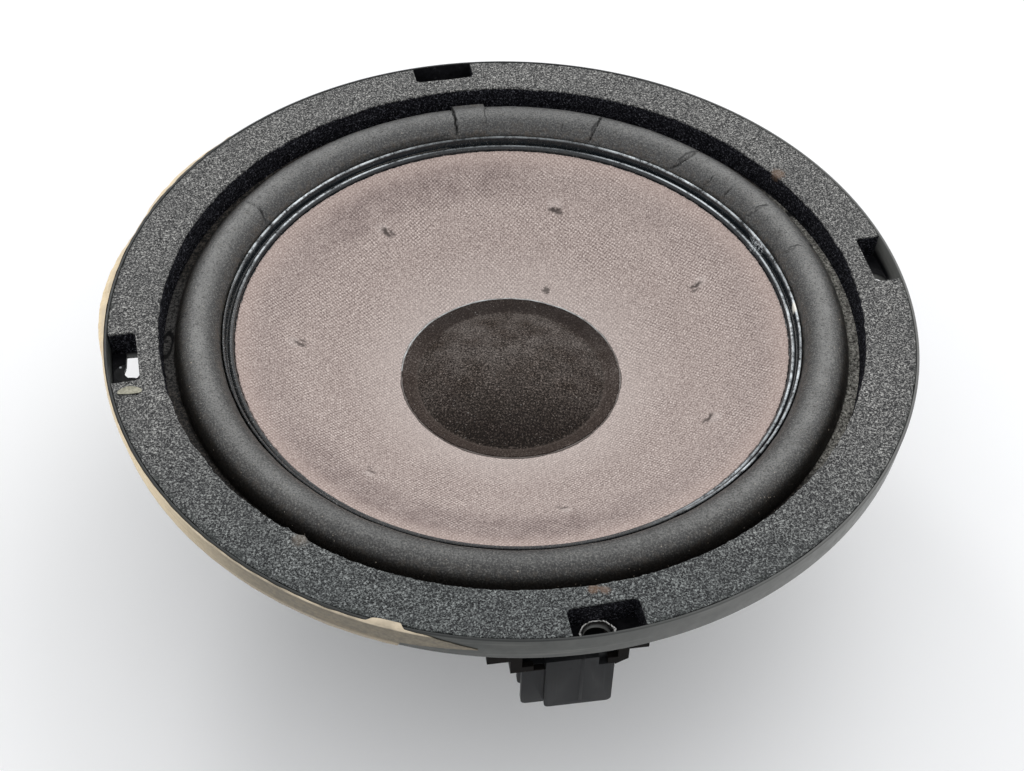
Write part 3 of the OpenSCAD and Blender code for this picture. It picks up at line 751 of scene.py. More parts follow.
def bracket_look():
    """The connector's bracket: the basket's moulding, dull, and painted brown-black as shade in the shelter
    of the rim.
    """
    look = Look("bracket_moulding", (0.02, 0.018, 0.016), 0.5, Specular_IOR_Level=0.04)
    cloud = look.noise(5, 4, 0.6)
    # painted shade: a much darker copy of the basket's moulding, under the rim
    look.base = look.mix(cloud.remap(0.3, 0.7), (0.004, 0.0034, 0.003), (0.009, 0.0078, 0.007))
    look.paint(look.specks(0.25, 1.3, 0.4) * 0.4, (0.12, 0.11, 0.10))
    return look.complete(look.bump(look.noise(0.4, 2), 0.015, 0.6), cloud.remap(0.3, 0.7, 0.42, 0.6))


# ---------- materials of the hidden parts, the flake and the floor ----------


def film_look():
    """Amber former film with faint winding marks."""
    look = Look("former_film", (0.5, 0.33, 0.16), 0.35)
    turns = (look.z * (2 * math.pi / 0.9)).calc("SINE")
    look.base = look.mix(look.noise(4, 3).remap(0.35, 0.65), (0.42, 0.25, 0.10), (0.56, 0.37, 0.19))
    return look.complete(look.bump(turns, 0.02, 0.5), look.noise(1.5, 3).remap(0.3, 0.7, 0.28, 0.45))


def copper_look():
    """Enamelled copper wire, turn beside turn."""
    look = Look("coil_wire", (0.6, 0.28, 0.14), 0.3, Metallic=0.9)
    turns = (look.z * (2 * math.pi / 0.35)).calc("SINE").remap(-1, 1)
    look.base = look.mix(turns, (0.22, 0.07, 0.03), (0.72, 0.34, 0.17))
    return look.complete(look.bump(turns, 0.12, 0.9), look.noise(1, 2).remap(0.3, 0.7, 0.24, 0.4))


def spider_look():
    """Resin-stiffened open weave."""
    look = Look("spider_weave", (0.32, 0.22, 0.11), 0.8)
    over, crown = look.weave(0.45, 45)
    thread = over * 0.5 + crown * 0.5
    look.base = look.mix(thread.remap(0.2, 0.8), (0.12, 0.07, 0.03), (0.42, 0.30, 0.16))
    look.paint(look.noise(8, 4).remap(0.45, 0.7, 0, 0.5), (0.20, 0.13, 0.06))
    return look.complete(look.bump(thread, 0.12, 0.8), thread.remap(0, 1, 0.85, 0.6))


def steel_look():
    """Zinc-plated steel with turning marks and faint bloom."""
    look = Look("plated_steel", (0.55, 0.55, 0.54), 0.35, Metallic=1.0)
    rings = look.noise(0.5, 3, 0.6, where=look.vector(look.radius, 0.0, 0.0))
    cloud = look.noise(10, 4, 0.6)
    look.base = look.mix(cloud.remap(0.35, 0.7), (0.58, 0.58, 0.565), (0.50, 0.495, 0.475))
    look.paint(look.noise(2.2, 4, 0.75).remap(0.64, 0.76, 0, 0.3), (0.34, 0.29, 0.23))
    return look.complete(look.bump(rings, 0.02, 0.7), (rings + cloud).remap(0.6, 1.4, 0.26, 0.5))


def ferrite_look():
    """Ground ferrite: dark, grainy, with small chips."""
    look = Look("ferrite_ring", (0.045, 0.045, 0.048), 0.55)
    grain = look.noise(0.6, 4, 0.7)
    look.base = look.mix(grain.remap(0.35, 0.7), (0.026, 0.026, 0.029), (0.075, 0.074, 0.076))
    look.paint(look.noise(5, 4, 0.7).remap(0.6, 0.72, 0, 0.6), (0.11, 0.105, 0.10))
    return look.complete(look.bump(grain, 0.06, 0.7), grain.remap(0.3, 0.7, 0.45, 0.7))


def brass_look():
    """Tinned brass with brassy worn edges."""
    look = Look("tinned_blade", (0.7, 0.6, 0.36), 0.3, Metallic=1.0)
    cloud = look.noise(1.6, 4, 0.6)
    look.base = look.mix(cloud.remap(0.4, 0.65), (0.72, 0.70, 0.64), (0.66, 0.50, 0.24))
    return look.complete(look.bump(look.noise(0.4, 2), 0.01, 0.6), cloud.remap(0.3, 0.7, 0.24, 0.42))


def tinsel_look():
    """Braided tinsel cord: copper foil over thread."""
    look = Look("tinsel_braid", (0.5, 0.38, 0.26), 0.45, Metallic=0.55)
    strand = look.noise(0.35, 3, 0.7)
    look.base = look.mix(strand.remap(0.35, 0.65), (0.30, 0.19, 0.11), (0.66, 0.47, 0.30))
    return look.complete(look.bump(strand, 0.12, 0.8), strand.remap(0.3, 0.7, 0.35, 0.6))


def flake_look():
    """Grey-green loose flake."""
    look = Look("loose_flake", (0.36, 0.35, 0.26), 0.6)
    fibre = look.noise(0.6, 4, 0.65)
    look.base = look.mix(fibre.remap(0.35, 0.65), (0.20, 0.19, 0.14), (0.40, 0.385, 0.30))
    return look.complete(look.bump(fibre, 0.06, 0.8), fibre.remap(0.3, 0.7, 0.5, 0.75))


def floor_look():
    """Pale painted board under the speaker."""
    look = Look("floor_paint", (0.86, 0.86, 0.86), 0.6)
    look.base = look.mix(look.noise(220, 3).remap(0.3, 0.7), (0.91, 0.91, 0.915), (0.945, 0.945, 0.945))
    return look.complete(look.bump(look.noise(0.8, 3), 0.01, 0.3))


LOOKS = {
    "basket": basket_look(), "foam": foam_look(), "surround": surround_look(), "gloss": gloss_look(),
    "cone_cloth": cone_cloth_look(), "cap_cloth": cap_cloth_look(), "adhesive": adhesive_look(),
    "film": film_look(), "copper": copper_look(), "spider": spider_look(), "steel": steel_look(),
    "ferrite": ferrite_look(), "plug": plug_look(), "brass": brass_look(), "tinsel": tinsel_look(),
    "rivet": rivet_look(), "tape": tape_look(), "flake": flake_look(), "bracket": bracket_look(),
    "floor": floor_look()}


# ---------- basket ----------

WINDOW_R = (61.5, 80.0)
WINDOW_HALF = 19
SPOKES = 6
SPOKE_STEP = 360 // SPOKES
RIB_T = 3.0
HOLE_R = 3.2
RIM_IN = 99.3
SCREW_R = 31
SCREW_HOLE_R = 1.8
# The two blades' places round the rim, half their width, and the heights of their faces
BLADE_U = (-2.4, 4.9)
BLADE_HALF = 1.5
BLADE_Z = (-9.5, -8.5)
BASKET_COLUMNS = 720
# Spans that cut right through the flange, the seat and the bowl's wall
FLANGE_SPAN = (-1, 3)
SEAT_SPAN = (-44, -39)
WALL_SPAN = (81, 88)
# Relief in the flange's back: inner and outer radius, first and last angle
RELIEF = (86.5, 98.3, 267.4, 290.6)
RELIEF_T = 0.4
# The left rivet hole is broken out towards the back, and torn residue hangs over its left and near side
BROKEN = ((-94.9, -14.2), (-90.8, -13.5), (-90.6, -20.6), (-95.0, -21.0), (-94.4, -17.9))
RESIDUE = ((-97.4, -22.5), (-95.0, -24.8), (-90.8, -24.4), (-90.4, -22.3), (-92.0, -22.1), (-93.2, -22.2),
           (-94.0, -21.5), (-94.5, -20.1), (-94.3, -18.6), (-94.7, -17.6), (-97.4, -17.0))
RESIDUE_SPAN = (0.5, 1.7)


def bowl_in(r):
    """Height of the bowl's inner wall at radius r."""
    return -10 + (r - 83.2) * 19 / 25.2


def bowl_out(r):
    """Height of the bowl's outer wall at radius r."""
    return -32.2 + (r - 57.4) * 21.04 / 27.9


def basket_outline():
    """Section of the basket, from the foot of the rim round to its seat and back."""
    low, high = WINDOW_R
    return rounded([
        (98.6, 0, 0.4), (100, 1.4, 0.5), (100, 8.9, 0.3), (RIM_IN, 8.9, 0.2), (RIM_IN, 2, 0.3),
        (89.2, 2, 0.1), (89.2, 1.4, 0), (84, 1.4, 0.4), (83.2, -10, 1.5), (high, bowl_in(high), 0),
        (low, bowl_in(low), 0), (58, -29, 0.4), (58, -30, 0), (50, -30, 0.4), (50, -40, 0.6), (22, -40, 0.3),
        (22, -43, 0.3), (52.2, -43, 0.8), (52.2, -32.2, 0.6), (57.4, -32.2, 0.8), (low, bowl_out(low), 0),
        (high, bowl_out(high), 0), (85.3, -11.16, 1.2), (86.2, 0, 0.2)])


def make_shell():
    """The basket's turned shell with its windows, still without holes."""
    outline = basket_outline()
    rows = len(outline)
    low, high = WINDOW_R
    corners = ((high, bowl_in(high)), (low, bowl_in(low)), (low, bowl_out(low)), (high, bowl_out(high)))
    a, b, c, d = (int(np.argmin(np.hypot(outline[:, 0] - r, outline[:, 1] - z))) for r, z in corners)
    per = BASKET_COLUMNS // 360
    starts = [(PLUG_ANGLE + SPOKE_STEP // 2 + SPOKE_STEP * k - WINDOW_HALF) * per for k in range(SPOKES)]
    wide = 2 * WINDOW_HALF * per

    def open_face(i, j):
        inside = np.zeros(i.shape, bool)
        for start in starts:
            inside |= (i - start) % BASKET_COLUMNS < wide
        return inside & (((j >= a) & (j < b)) | ((j >= c) & (j < d)))

    verts = lathe_grid(outline, BASKET_COLUMNS, lambda a, r, z: (a, r + (r > 99) * rim_lean(a, z), z))
    faces = grid_faces(BASKET_COLUMNS, rows, skip=open_face)
    for start in starts:
        for k in range(wide):
            i, i2 = (start + k) % BASKET_COLUMNS, (start + k + 1) % BASKET_COLUMNS
            faces.append([i * rows + a, i2 * rows + a, i2 * rows + d, i * rows + d])
            faces.append([i * rows + c, i2 * rows + c, i2 * rows + b, i * rows + b])
        for i in (start % BASKET_COLUMNS, (start + wide) % BASKET_COLUMNS):
            faces.append([i * rows + k for k in (a, b, c, d)])
    return piece("basket_shell", verts, faces, "basket", "basket", "chassis", "basket")


def make_basket():
    """The basket's moulding: its shell, drilled, slotted, broken at the left hole and rounded off."""
    basket = make_shell()
    outward(basket)
    holes = [round_solid(RIVET_R, RIVET_ANGLE + QUARTER * k, HOLE_R, *FLANGE_SPAN) for k in range(QUARTERS)]
    holes += [plug_block(WALL_SPAN, (u - BLADE_HALF, u + BLADE_HALF), BLADE_Z) for u in BLADE_U]
    for k in range(QUARTERS):
        holes.append(round_solid(SCREW_R, PLUG_ANGLE + QUARTER * (k + 0.5), SCREW_HOLE_R, *SEAT_SPAN, 32))
    combine(basket, "DIFFERENCE", *holes)
    combine(basket, "DIFFERENCE", prism(BROKEN, *FLANGE_SPAN))
    combine(basket, "UNION", prism(RESIDUE, *RESIDUE_SPAN))
    low_r, high_r, first, last = RELIEF
    outer, inner = arc_points(0, 0, high_r, first, last, 16), arc_points(0, 0, low_r, last, first, 16)
    combine(basket, "DIFFERENCE", prism(np.concatenate([outer, inner]), FLANGE_SPAN[0], RELIEF_T))
    soften(basket, 0.3)


def make_ribs():
    """Upright ribs behind the spokes."""
    rib = rounded([(50.5, -33, 0), (57, -31.5, 0.5), (84.6, -12, 0.5), (85, -14.5, 0.6), (59, -38, 2),
                   (55, -43, 0.6), (50.5, -43, 0)])
    ribs = [prism(rib, -RIB_T / 2, RIB_T / 2, lambda r, z, t: turned(r, t, z, PLUG_ANGLE + SPOKE_STEP * k))
            for k in range(SPOKES)]
    webs = piece("basket_ribs", *join(ribs), "basket", "basket", "chassis", "basket")
    outward(webs)
    soften(webs, 0.4)


# ---------- foam gasket ----------

NOTCH_ANGLE = 13.4
NOTCH_HALF = 8.2
NOTCH_IN = 92.6
# The notches' cutting solids run out past the rim, and from inside the flange to above the foam
NOTCH_PAST = 103
NOTCH_SPAN = (1, 12)
# The foam's bore at its foot and at its face
FOAM_IN = (86.9, 87.5)
FOAM_OUT = 99.2
FOAM_STEP = 0.6


def cloudy(points, size, shift=0.0):
    """Noise at points, with features about size across."""
    flat = points.reshape(-1, 3)
    return np.array([noise.noise(Vector(p / size + shift)) for p in flat]).reshape(points.shape[:-1])


def crumble(a, r, z):
    """Wear the foam's edges away, bend it out with the rim, and raise two tufts at its bore."""
    at = polar(r, a, z)
    grain, broad = cloudy(at, 1.1), cloudy(at, 4.5, 7)
    edge = wave(3, (2, 5, 9, 17, 31), (0.10, 0.07, 0.06, 0.05, 0.05))
    high = smooth_step(FLANGE_Z, FLANGE_Z + 0.8, z)
    bore = smooth_step(90, 87.6, r) * high
    r = r + bore * (edge(a) + 0.32 * grain + 0.18 * broad)
    rim = smooth_step(FOAM_OUT - 0.5, FOAM_OUT, r) * high
    r = r - rim * np.clip(0.25 * broad + 0.15 * grain, 0, 0.3)
    r = r + rim_lean(a, z) * smooth_step(93, 99, r)
    tuft = peak(a, 239.2, 0.8) + 0.6 * peak(a, 236.4, 0.5)
    r = r - bore * tuft * np.clip(0.7 + 1.1 * grain, 0.1, 1.3)
    z = z + smooth_step(FOAM_TOP - 0.6, FOAM_TOP - 0.1, z) * (0.07 * grain + 0.10 * broad - 0.06)
    return a, r, z


def make_foam():
    """The foam ring with its four notches."""
    foot, face = FOAM_IN
    outline = refine(rounded([(foot, FLANGE_Z, 0), (FOAM_OUT, FLANGE_Z, 0), (FOAM_OUT, FOAM_TOP, 0.3),
                              (face, FOAM_TOP, 0.4)]), FOAM_STEP)
    foam = lathe("foam_ring", outline, 900, crumble, "foam", "foam", "chassis", "foam_gasket")
    notch = rounded([(NOTCH_IN, -NOTCH_HALF, 1.5), (NOTCH_PAST, -NOTCH_HALF, 0),
                     (NOTCH_PAST, NOTCH_HALF, 0), (NOTCH_IN, NOTCH_HALF, 1.3)], 5)
    cuts = [prism(notch, *NOTCH_SPAN, lambda x, y, z: turned(x, y, z, NOTCH_ANGLE + QUARTER * k))
            for k in range(QUARTERS)]
    combine(foam, "DIFFERENCE", *cuts)
    sharpen(foam, 50)


# ---------- surround ----------

ROLL_R = 78.4
ROLL_Z = 2.2
ROLL_RAD = 5.7
ROLL_T = 0.7
SPLICE_AT = 100.3
SPLICE_HALF = 3.15
# Cracks across the roll: angle, first and last place round the section, depth, slant
CRACKS = ((20, 100, 135, 0.4, 0.5), (33, 92, 150, 0.45, 1.2), (41, 125, 165, 0.35, 0.6),
          (46, 130, 172, 0.35, 0.8), (53.4, 72, 158, 0.9, 2.2), (74, 60, 160, 0.75, 0.9),
          (81, 85, 150, 0.4, 0.2), (153, 70, 150, 0.6, 1.2), (183, 8, 60, 0.5, -2.0),
          (20.5, 20, 50, 0.4, -0.5))
CRACK_HALF = 0.26
# Depth of skin on the roll's front that a crack or a tear opens
SKIN_T = 0.35
# Hollows at the roll's inner foot: angle and width
INNER_DENTS = ((24, 2.5), (30, 2.0), (36, 2.6), (43, 1.8), (49, 2.4))


def surround_worn(a, r, z):
    """Billow, splice, crack and dent the roll, lift its foot beside the splice, and fray its ledge."""
    billow = wave(11, (2, 3, 7, 13), (0.10, 0.08, 0.05, 0.03))
    fine = wave(12, (23, 41, 67), (0.03, 0.02, 0.015))
    jitter = wave(13, (5, 11, 19), (0.25, 0.2, 0.12))
    across, up = r - ROLL_R, z - ROLL_Z
    place = np.degrees(np.arctan2(up, across)) % 360
    reach = np.hypot(across, up)

    def between(a0, a1, b0, b1):
        """1 between two places round the section, with a smooth rise and fall."""
        return smooth_step(a0, a1, place) * smooth_step(b1, b0, place)

    outer_skin = reach > ROLL_RAD - SKIN_T
    grow = between(0, 25, 155, 180) * (up > -0.5) * (billow(a) + fine(a))
    gap = angle_gap(a, SPLICE_AT)
    patch = smooth_step(SPLICE_HALF + 0.12, SPLICE_HALF - 0.12, np.abs(gap))
    grow = grow + patch * between(5, 9, 150, 165) * (0.28 + 0.75 * smooth_step(62, 38, place)) * outer_skin
    tear = np.maximum(0, 1 - np.abs(gap - SPLICE_HALF - 0.15 - 0.3 * jitter(place * 2)) / 0.28)
    grow = grow - 0.9 * tear * between(20, 40, 150, 170) * outer_skin
    for at, first, last, depth, slant in CRACKS:
        bow = slant * ((place - 100) / 60 + 0.35 * np.sin(np.radians(place * 2.2)))
        line = angle_gap(a, at + bow + jitter(place * 1.3 + at * 7) * 0.22)
        along = between(first - 8, first + 8, last - 8, last + 8)
        grow = grow - depth * along * np.maximum(0, 1 - np.abs(line) / CRACK_HALF) * outer_skin
        grow = grow + 0.12 * along * np.exp(-np.abs(line) / 1.6) * np.sign(line)
    for at, width in INNER_DENTS:
        grow = grow - 0.55 * peak(a, at, width) * between(95, 130, 165, 185)
    reach, radians = reach + grow, np.radians(place)
    foot = smooth_step(104.6, 106, a) * smooth_step(139, 126, a) * between(140, 172, 190, 240)
    new_r = ROLL_R + reach * np.cos(radians) + 0.7 * foot
    new_z = ROLL_Z + reach * np.sin(radians) + 0.9 * foot
    ledge = (r > 84.3) & (z > 1.7) & (r < 88.5)
    return a, new_r, new_z + np.where(ledge, np.clip(0.36 * fine(a * 3), -0.08, 0.2), 0)


def make_surround():
    """The half-roll strip between the basket and the cone."""
    section = np.concatenate([
        [[89, 1.4], [89, 1.9], [88.8, 2.0], [86.6, 2.0], [84.8, 2.0]],
        arc_points(ROLL_R, ROLL_Z, ROLL_RAD, 2, 178, 54),
        [[72.7, 1.6], [72.6, 1.05], [72.2, 0.9], [70.7, 0.9], [70.7, 0.2], [73.2, 0.2], [73.35, 0.6]],
        arc_points(ROLL_R, ROLL_Z, ROLL_RAD - ROLL_T, 180, 0, 40), [[83.4, 1.4]]])
    roll = lathe("surround_roll", section, 1440, surround_worn, "surround", "surround", None, "surround")
    sharpen(roll, 60)
    radial_blend(roll, 84.1, 72.7)


def radial_blend(obj, fixed_r, moving_r):
    """Bake a ring's placement into its mesh and reckon each point's share between the basket, at fixed_r, and
    the cone, at moving_r; nothing uses the share, so the ring is not bent.
    """
    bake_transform(obj)
    points = np.empty(len(obj.data.vertices) * 3)
    obj.data.vertices.foreach_get("co", points)
    share = smooth_step(fixed_r, moving_r, np.hypot(points[0::3], points[1::3]) / MM)


# ---------- cone ----------

FACING_R = 69.7
FACING_Z = 1.0
SLOPE = 0.4185
FACING_T = 0.45
CONE_T = 0.85
NECK_R = (16.05, 16.9)
NECK_Z = -25.5
CAP_R = 28.15
DOME_R = 24.2
DOME_H = 6.0
CAP_T = 0.45


def facing_z(r):
    """Height of the facing's front surface."""
    return FACING_Z - (FACING_R - r) * SLOPE


def cone_front(r):
    """Height of the cone under its facing."""
    return facing_z(r) - FACING_T


def make_cone_body():
    """The moulded cone with its neck and the two ridges round its edge."""
    edge = FACING_R + 0.05
    inner, outer = NECK_R
    outline = rounded([
        (inner, NECK_Z, 0), (inner, cone_front(inner), 0.2), (edge, cone_front(edge), 0),
        (edge, 1.45, 0.1), (70.02, 1.9, 0.15), (70.5, 2.12, 0.35), (71.0, 1.9, 0.15), (71.2, 1.35, 0.2),
        (71.6, 1.35, 0.15), (71.8, 3.75, 0.2), (72.1, 4.1, 0.25), (72.45, 3.85, 0.2), (72.5, 0.95, 0),
        (70.6, 0.95, 0), (70.6, 0.1, 0.1), (70.2, cone_front(70.2) - CONE_T, 0.3),
        (outer, cone_front(outer) - CONE_T, 0.8), (outer, NECK_Z, 0)], 4)
    ripple = wave(21, (3, 8, 21), (0.04, 0.03, 0.02))
    body = lathe("cone_shell", outline, 720, lambda a, r, z: (a, r, z + smooth_step(1.2, 3.5, z) * ripple(a)),
                 "gloss", "cone_plastic", "diaphragm", "cone_body")
    sharpen(body, 50)


def facing_worn(a, r, z):
    """Swell the facing gently, press its dents, and fray its edge."""
    swell = wave(31, (2, 3, 5, 8), (0.05, 0.04, 0.04, 0.03))
    frayed = wave(32, (47, 83, 131, 197), (0.05, 0.05, 0.05, 0.05))
    upper = z > facing_z(r) - FACING_T * 0.6
    z = z + upper * swell(a) * smooth_step(22, 45, r) * smooth_step(69, 62, r)
    for k, size in enumerate(DENT_SIZES):
        along = np.radians(angle_gap(a, DENT_ANGLE + k * DENT_STEP)) * r
        across = r - DENT_R
        pit = np.exp(-((along - 0.4) / 0.9) ** 2 - ((across + 0.3) / 0.7) ** 2)
        mound = np.exp(-((along + 0.5) / 1.5) ** 2 - ((across - 0.9) / 1.1) ** 2)
        z = z - upper * size * 0.40 * pit + upper * size * 0.34 * mound
    return a, r + smooth_step(69.2, 69.5, r) * (frayed(a) - 0.12), z


def make_facing():
    """The woven facing on the cone."""
    radii = np.concatenate([np.arange(20, 50, 1.25), np.arange(50, 58.6, 0.36), np.arange(58.8, 69.4, 0.62)])
    front = [(r, facing_z(r)) for r in radii[::-1]]
    edge = [(r, facing_z(r) - drop) for r, drop in ((69.7, 0.22), (69.6, 0.06), (69.35, 0))]
    back = [(r, cone_front(r)) for r in (20, 40, 55, 69.65)]
    facing = lathe("cone_facing", np.array(back + edge + front), 1080, facing_worn,
                   "cone_cloth", "cone_cloth", "diaphragm", "cone_fabric")
    sharpen(facing, 60)


def make_cap():
    """Flat glued edge and low dome, each of one cloth thickness."""
    ball = (DOME_R ** 2 + DOME_H ** 2) / (2 * DOME_H)
    ball_z = facing_z(DOME_R) + CAP_T + DOME_H - ball
    half = math.degrees(math.asin(DOME_R / ball))
    dome = arc_points(0, ball_z, ball, 90 - half, 89.7, 40)
    under = arc_points(0, ball_z, ball - CAP_T, 89.7, 90 - half * 0.97, 20)
    # Points of the flat edge: radius, where the facing's height is read, and how far above it
    edge = ((DOME_R - 0.3, DOME_R - 0.3, 0.02), (CAP_R - 0.1, CAP_R, 0.02), (CAP_R, CAP_R, 0.2),
            (CAP_R - 0.15, CAP_R, CAP_T - 0.05), (27.2, 27.2, CAP_T), (26.0, 26.0, CAP_T - 0.03),
            (24.9, 24.9, CAP_T - 0.05))
    outline = np.concatenate([under, [(r, facing_z(at) + lift) for r, at, lift in edge], dome])
    uneven = wave(41, (2, 3, 5), (0.5, 0.3, 0.2))
    frayed = wave(42, (29, 53, 97), (0.05, 0.04, 0.04))

    def shape(a, r, z):
        z = z + 0.12 * uneven(a) * smooth_step(24, 12, r) * smooth_step(1, 8, r)
        return a, r + smooth_step(27.7, 28.1, r) * (frayed(a) - 0.08), z

    rows, columns = len(outline), 360
    faces = grid_faces(columns, rows, closed=False)
    faces.append([i * rows + rows - 1 for i in range(columns)])
    faces.append([i * rows for i in range(columns)][::-1])
    cap = piece("dust_dome", lathe_grid(outline, columns, shape), faces,
                "cap_cloth", "cap_cloth", "diaphragm", "dust_cap")
    outward(cap)
    sharpen(cap, 50)


def make_bead():
    """The lumpy bead of cement round the cap."""
    base = CAP_R + 0.02
    outline = rounded([(base, facing_z(base), 0), (base + 0.58, facing_z(base + 0.58), 0),
                       (base + 0.3, facing_z(base + 0.3) + 0.28, 0.12), (base, facing_z(base) + 0.36, 0.1)])
    lumps = wave(51, (3, 7, 13, 23, 37), (0.16, 0.14, 0.12, 0.10, 0.08))

    def shape(a, r, z):
        share = np.clip(0.72 + lumps(a), 0.3, 1.25)
        floor = facing_z(r)
        return a, base + (r - base) * share, np.maximum(floor, floor + (z - floor) * share)

    lathe("cement_bead", outline, 720, shape, "adhesive", "adhesive", "diaphragm", "cap_glue_bead")


# ---------- motor and suspension behind the cone ----------

SPIDER_Z = -29.5
SPIDER_ROLLS = 5
YOKE_Z = -65.5
YOKE_R = 37
POLE_R = 15.2
POLE_Z = -43
MAGNET_R = (22, 42)
MAGNET_Z = (-60, -48)


def make_spider():
    """The corrugated disc that centres the coil."""
    t = np.arange(121) / 120
    top = np.stack([19 + 30 * t, SPIDER_Z + 1.1 * np.sin(2 * math.pi * SPIDER_ROLLS * t)], axis=-1)
    outline = np.concatenate([
        [[16.55, SPIDER_Z], [16.5, -28.0], [16.1, -28.0], [16.07, -31.0], [16.55, -31.0], [16.55, -30.0]],
        top - [0, 0.5], [[56.9, -29.98], [56.9, SPIDER_Z]], top[::-1]])
    spider = lathe("spider_web", outline, 360, None, "spider", "spider_cloth", None, "spider")
    sharpen(spider, 50)
    radial_blend(spider, 49.5, 18.5)


def make_motor():
    """The magnet and the yoke with its vented pole."""
    low, high = MAGNET_Z
    inner, outer = MAGNET_R
    magnet = rounded([(inner, low, 0.4), (outer, low, 0.8), (outer, high, 0.8), (inner, high, 0.4)], 4)
    ring = wave(61, (9, 17, 29), (0.03, 0.03, 0.02))

    def shape(a, r, z):
        return a, r + ring(a) * smooth_step(outer - 1, outer, r), z

    lathe("ferrite_block", magnet, 360, shape, "ferrite", "ferrite", "chassis", "magnet")
    yoke = rounded([(0.02, YOKE_Z, 0), (4.5, YOKE_Z, 0.2), (5.2, -64.9, 0.2), (6.5, -64.9, 0.2),
                    (7.2, YOKE_Z, 0.2), (YOKE_R - 0.8, YOKE_Z, 0.3), (YOKE_R, YOKE_Z + 0.8, 0.3),
                    (YOKE_R, low, 0.5), (POLE_R, low, 0.2), (POLE_R, POLE_Z, 0.5), (0.02, POLE_Z, 0)])
    steel = lathe("yoke_plate", yoke, 240, None, "steel", "plated_steel", "chassis", "yoke")
    sharpen(steel, 50)


# CAD nodes that keep their shape: look, and the width of their rounded edges if they have any
DRESSED = {"connector_bracket": ("bracket", 0.25), "terminal_blades": ("brass", 0.12),
           "front_plate": ("steel", 0.4), "plate_screws": ("steel", 0.15),
           "coil_former": ("film", None), "voice_coil": ("copper", None)}


def dress(node, look, width):
    """Give a CAD node its finish, and soften its edges when a width is given."""
    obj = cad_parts[node]
    for slot in obj.material_slots:
        slot.material = LOOKS[look]
    if not obj.material_slots:
        obj.data.materials.append(LOOKS[look])
    if width:
        step = obj.modifiers.new("weld", "WELD")
        step.merge_threshold = 0.001 * MM
        flat = obj.modifiers.new("flat", "DECIMATE")
        flat.decimate_type = "DISSOLVE"
        flat.angle_limit = math.radians(1)
        bevel(obj, width)


# Ends of a lead at its blade and at the former, outwards and up, and the radius it hangs in
LEAD_ENDS = ((80, -10.4), (17.6, -26.4))
LEAD_BEND = 89.4
# A lead's section: points round it, mean radius, height and number of its lobes, and twist at each step
LEAD_SIDES = 18
LEAD_R = 0.72
LOBE_H = 0.09
LOBES = 3
LEAD_TWIST = 34


def lead_path():
    """Middle line of a lead in the connector's upright plane: distance outwards, then height."""
    outer, inner = np.array(LEAD_ENDS)
    run = np.linalg.norm(outer - inner)
    sweep = 2 * math.degrees(math.asin(run / 2 / LEAD_BEND))
    tilt = math.degrees(math.atan2(outer[1] - inner[1], outer[0] - inner[0]))
    rise = math.sqrt(LEAD_BEND ** 2 - run ** 2 / 4)
    t = math.radians(tilt)
    centre = (outer + inner) / 2 + rise * np.array([-math.sin(t), math.cos(t)])
    return arc_points(centre[0], centre[1], LEAD_BEND, tilt - 90 + sweep / 2, tilt - 90 - sweep / 2, 90)


def make_lead(name, u):
    """A twisted tinsel cord from a blade to the former."""
    path = lead_path()
    along = np.gradient(path, axis=0)
    along /= np.linalg.norm(along, axis=1)[:, None]
    count = LEAD_SIDES
    verts = []
    for k, ((w, z), (dw, dz)) in enumerate(zip(path, along)):
        for m in range(count):
            around = 360 * m / count
            size = LEAD_R + LOBE_H * math.cos(math.radians(LOBES * (around - LEAD_TWIST * k)))
            a = math.radians(around)
            side, lift = size * math.cos(a), size * math.sin(a)
            verts.append(plug_point(w - dz * lift, u + side, z + dw * lift))
    faces = grid_faces(len(path), count, around=False)
    faces += [list(range(count)), list(range(len(verts) - count, len(verts)))]
    lead = piece(name + "_cord", verts, faces, "tinsel", "tinsel", None, name)
    outward(lead)
    start, end = (tuple(v * MM for v in plug_point(w, u, z)) for w, z in (path[0], path[-1]))
    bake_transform(lead)


# ---------- connector ----------

# The housing's back and front face, outwards, and its underside
PLUG_W = (86.6, 95.0)
PLUG_LOW = -25.3


def make_plug():
    """The socket housing with its keying block, its hollow and the slots for the blades."""
    back, face = PLUG_W
    low = PLUG_LOW
    main = rounded([(-6.5, low, 1.2), (9, low, 1.2), (9, -7.7, 0.3), (-6.5, -7.7, 0.3)], 5)
    side = rounded([(-11.6, low, 1.3), (-6.3, low, 0), (-6.3, -9.9, 0), (-11.6, -9.9, 0.3)], 5)
    housing = piece("plug_body", *plug_prism(main, back, face),
                    "plug", "plug_plastic", "chassis", "connector_housing")
    outward(housing)
    combine(housing, "UNION", plug_prism(side, back + 0.02, face - 1.6))
    combine(housing, "UNION", plug_block((face - 0.3, face + 0.12), (1.4, 2.2), (low + 1.5, -7.9)))
    socket = rounded([(-5.2, -27, 0), (7.7, -27, 0), (7.7, -11, 0.5), (-5.2, -11, 0.5)])
    combine(housing, "DIFFERENCE", plug_prism(socket, back + 1.3, face - 1.3),
            plug_block((back + 1.4, face - 3.0), (-14, -7.8), (-27, -11.4)),
            plug_block((face - 1.7, face + 1), (5.4, 9.5), (-10.6, -6.5)))
    for w, z in (((back - 1, 91.3), BLADE_Z), ((90.3, 91.3), (-11.5, -9.4))):
        for u in BLADE_U:
            combine(housing, "DIFFERENCE", plug_block(w, (u - BLADE_HALF, u + BLADE_HALF), z))
    soften(housing, 0.28)


# ---------- marks of use ----------


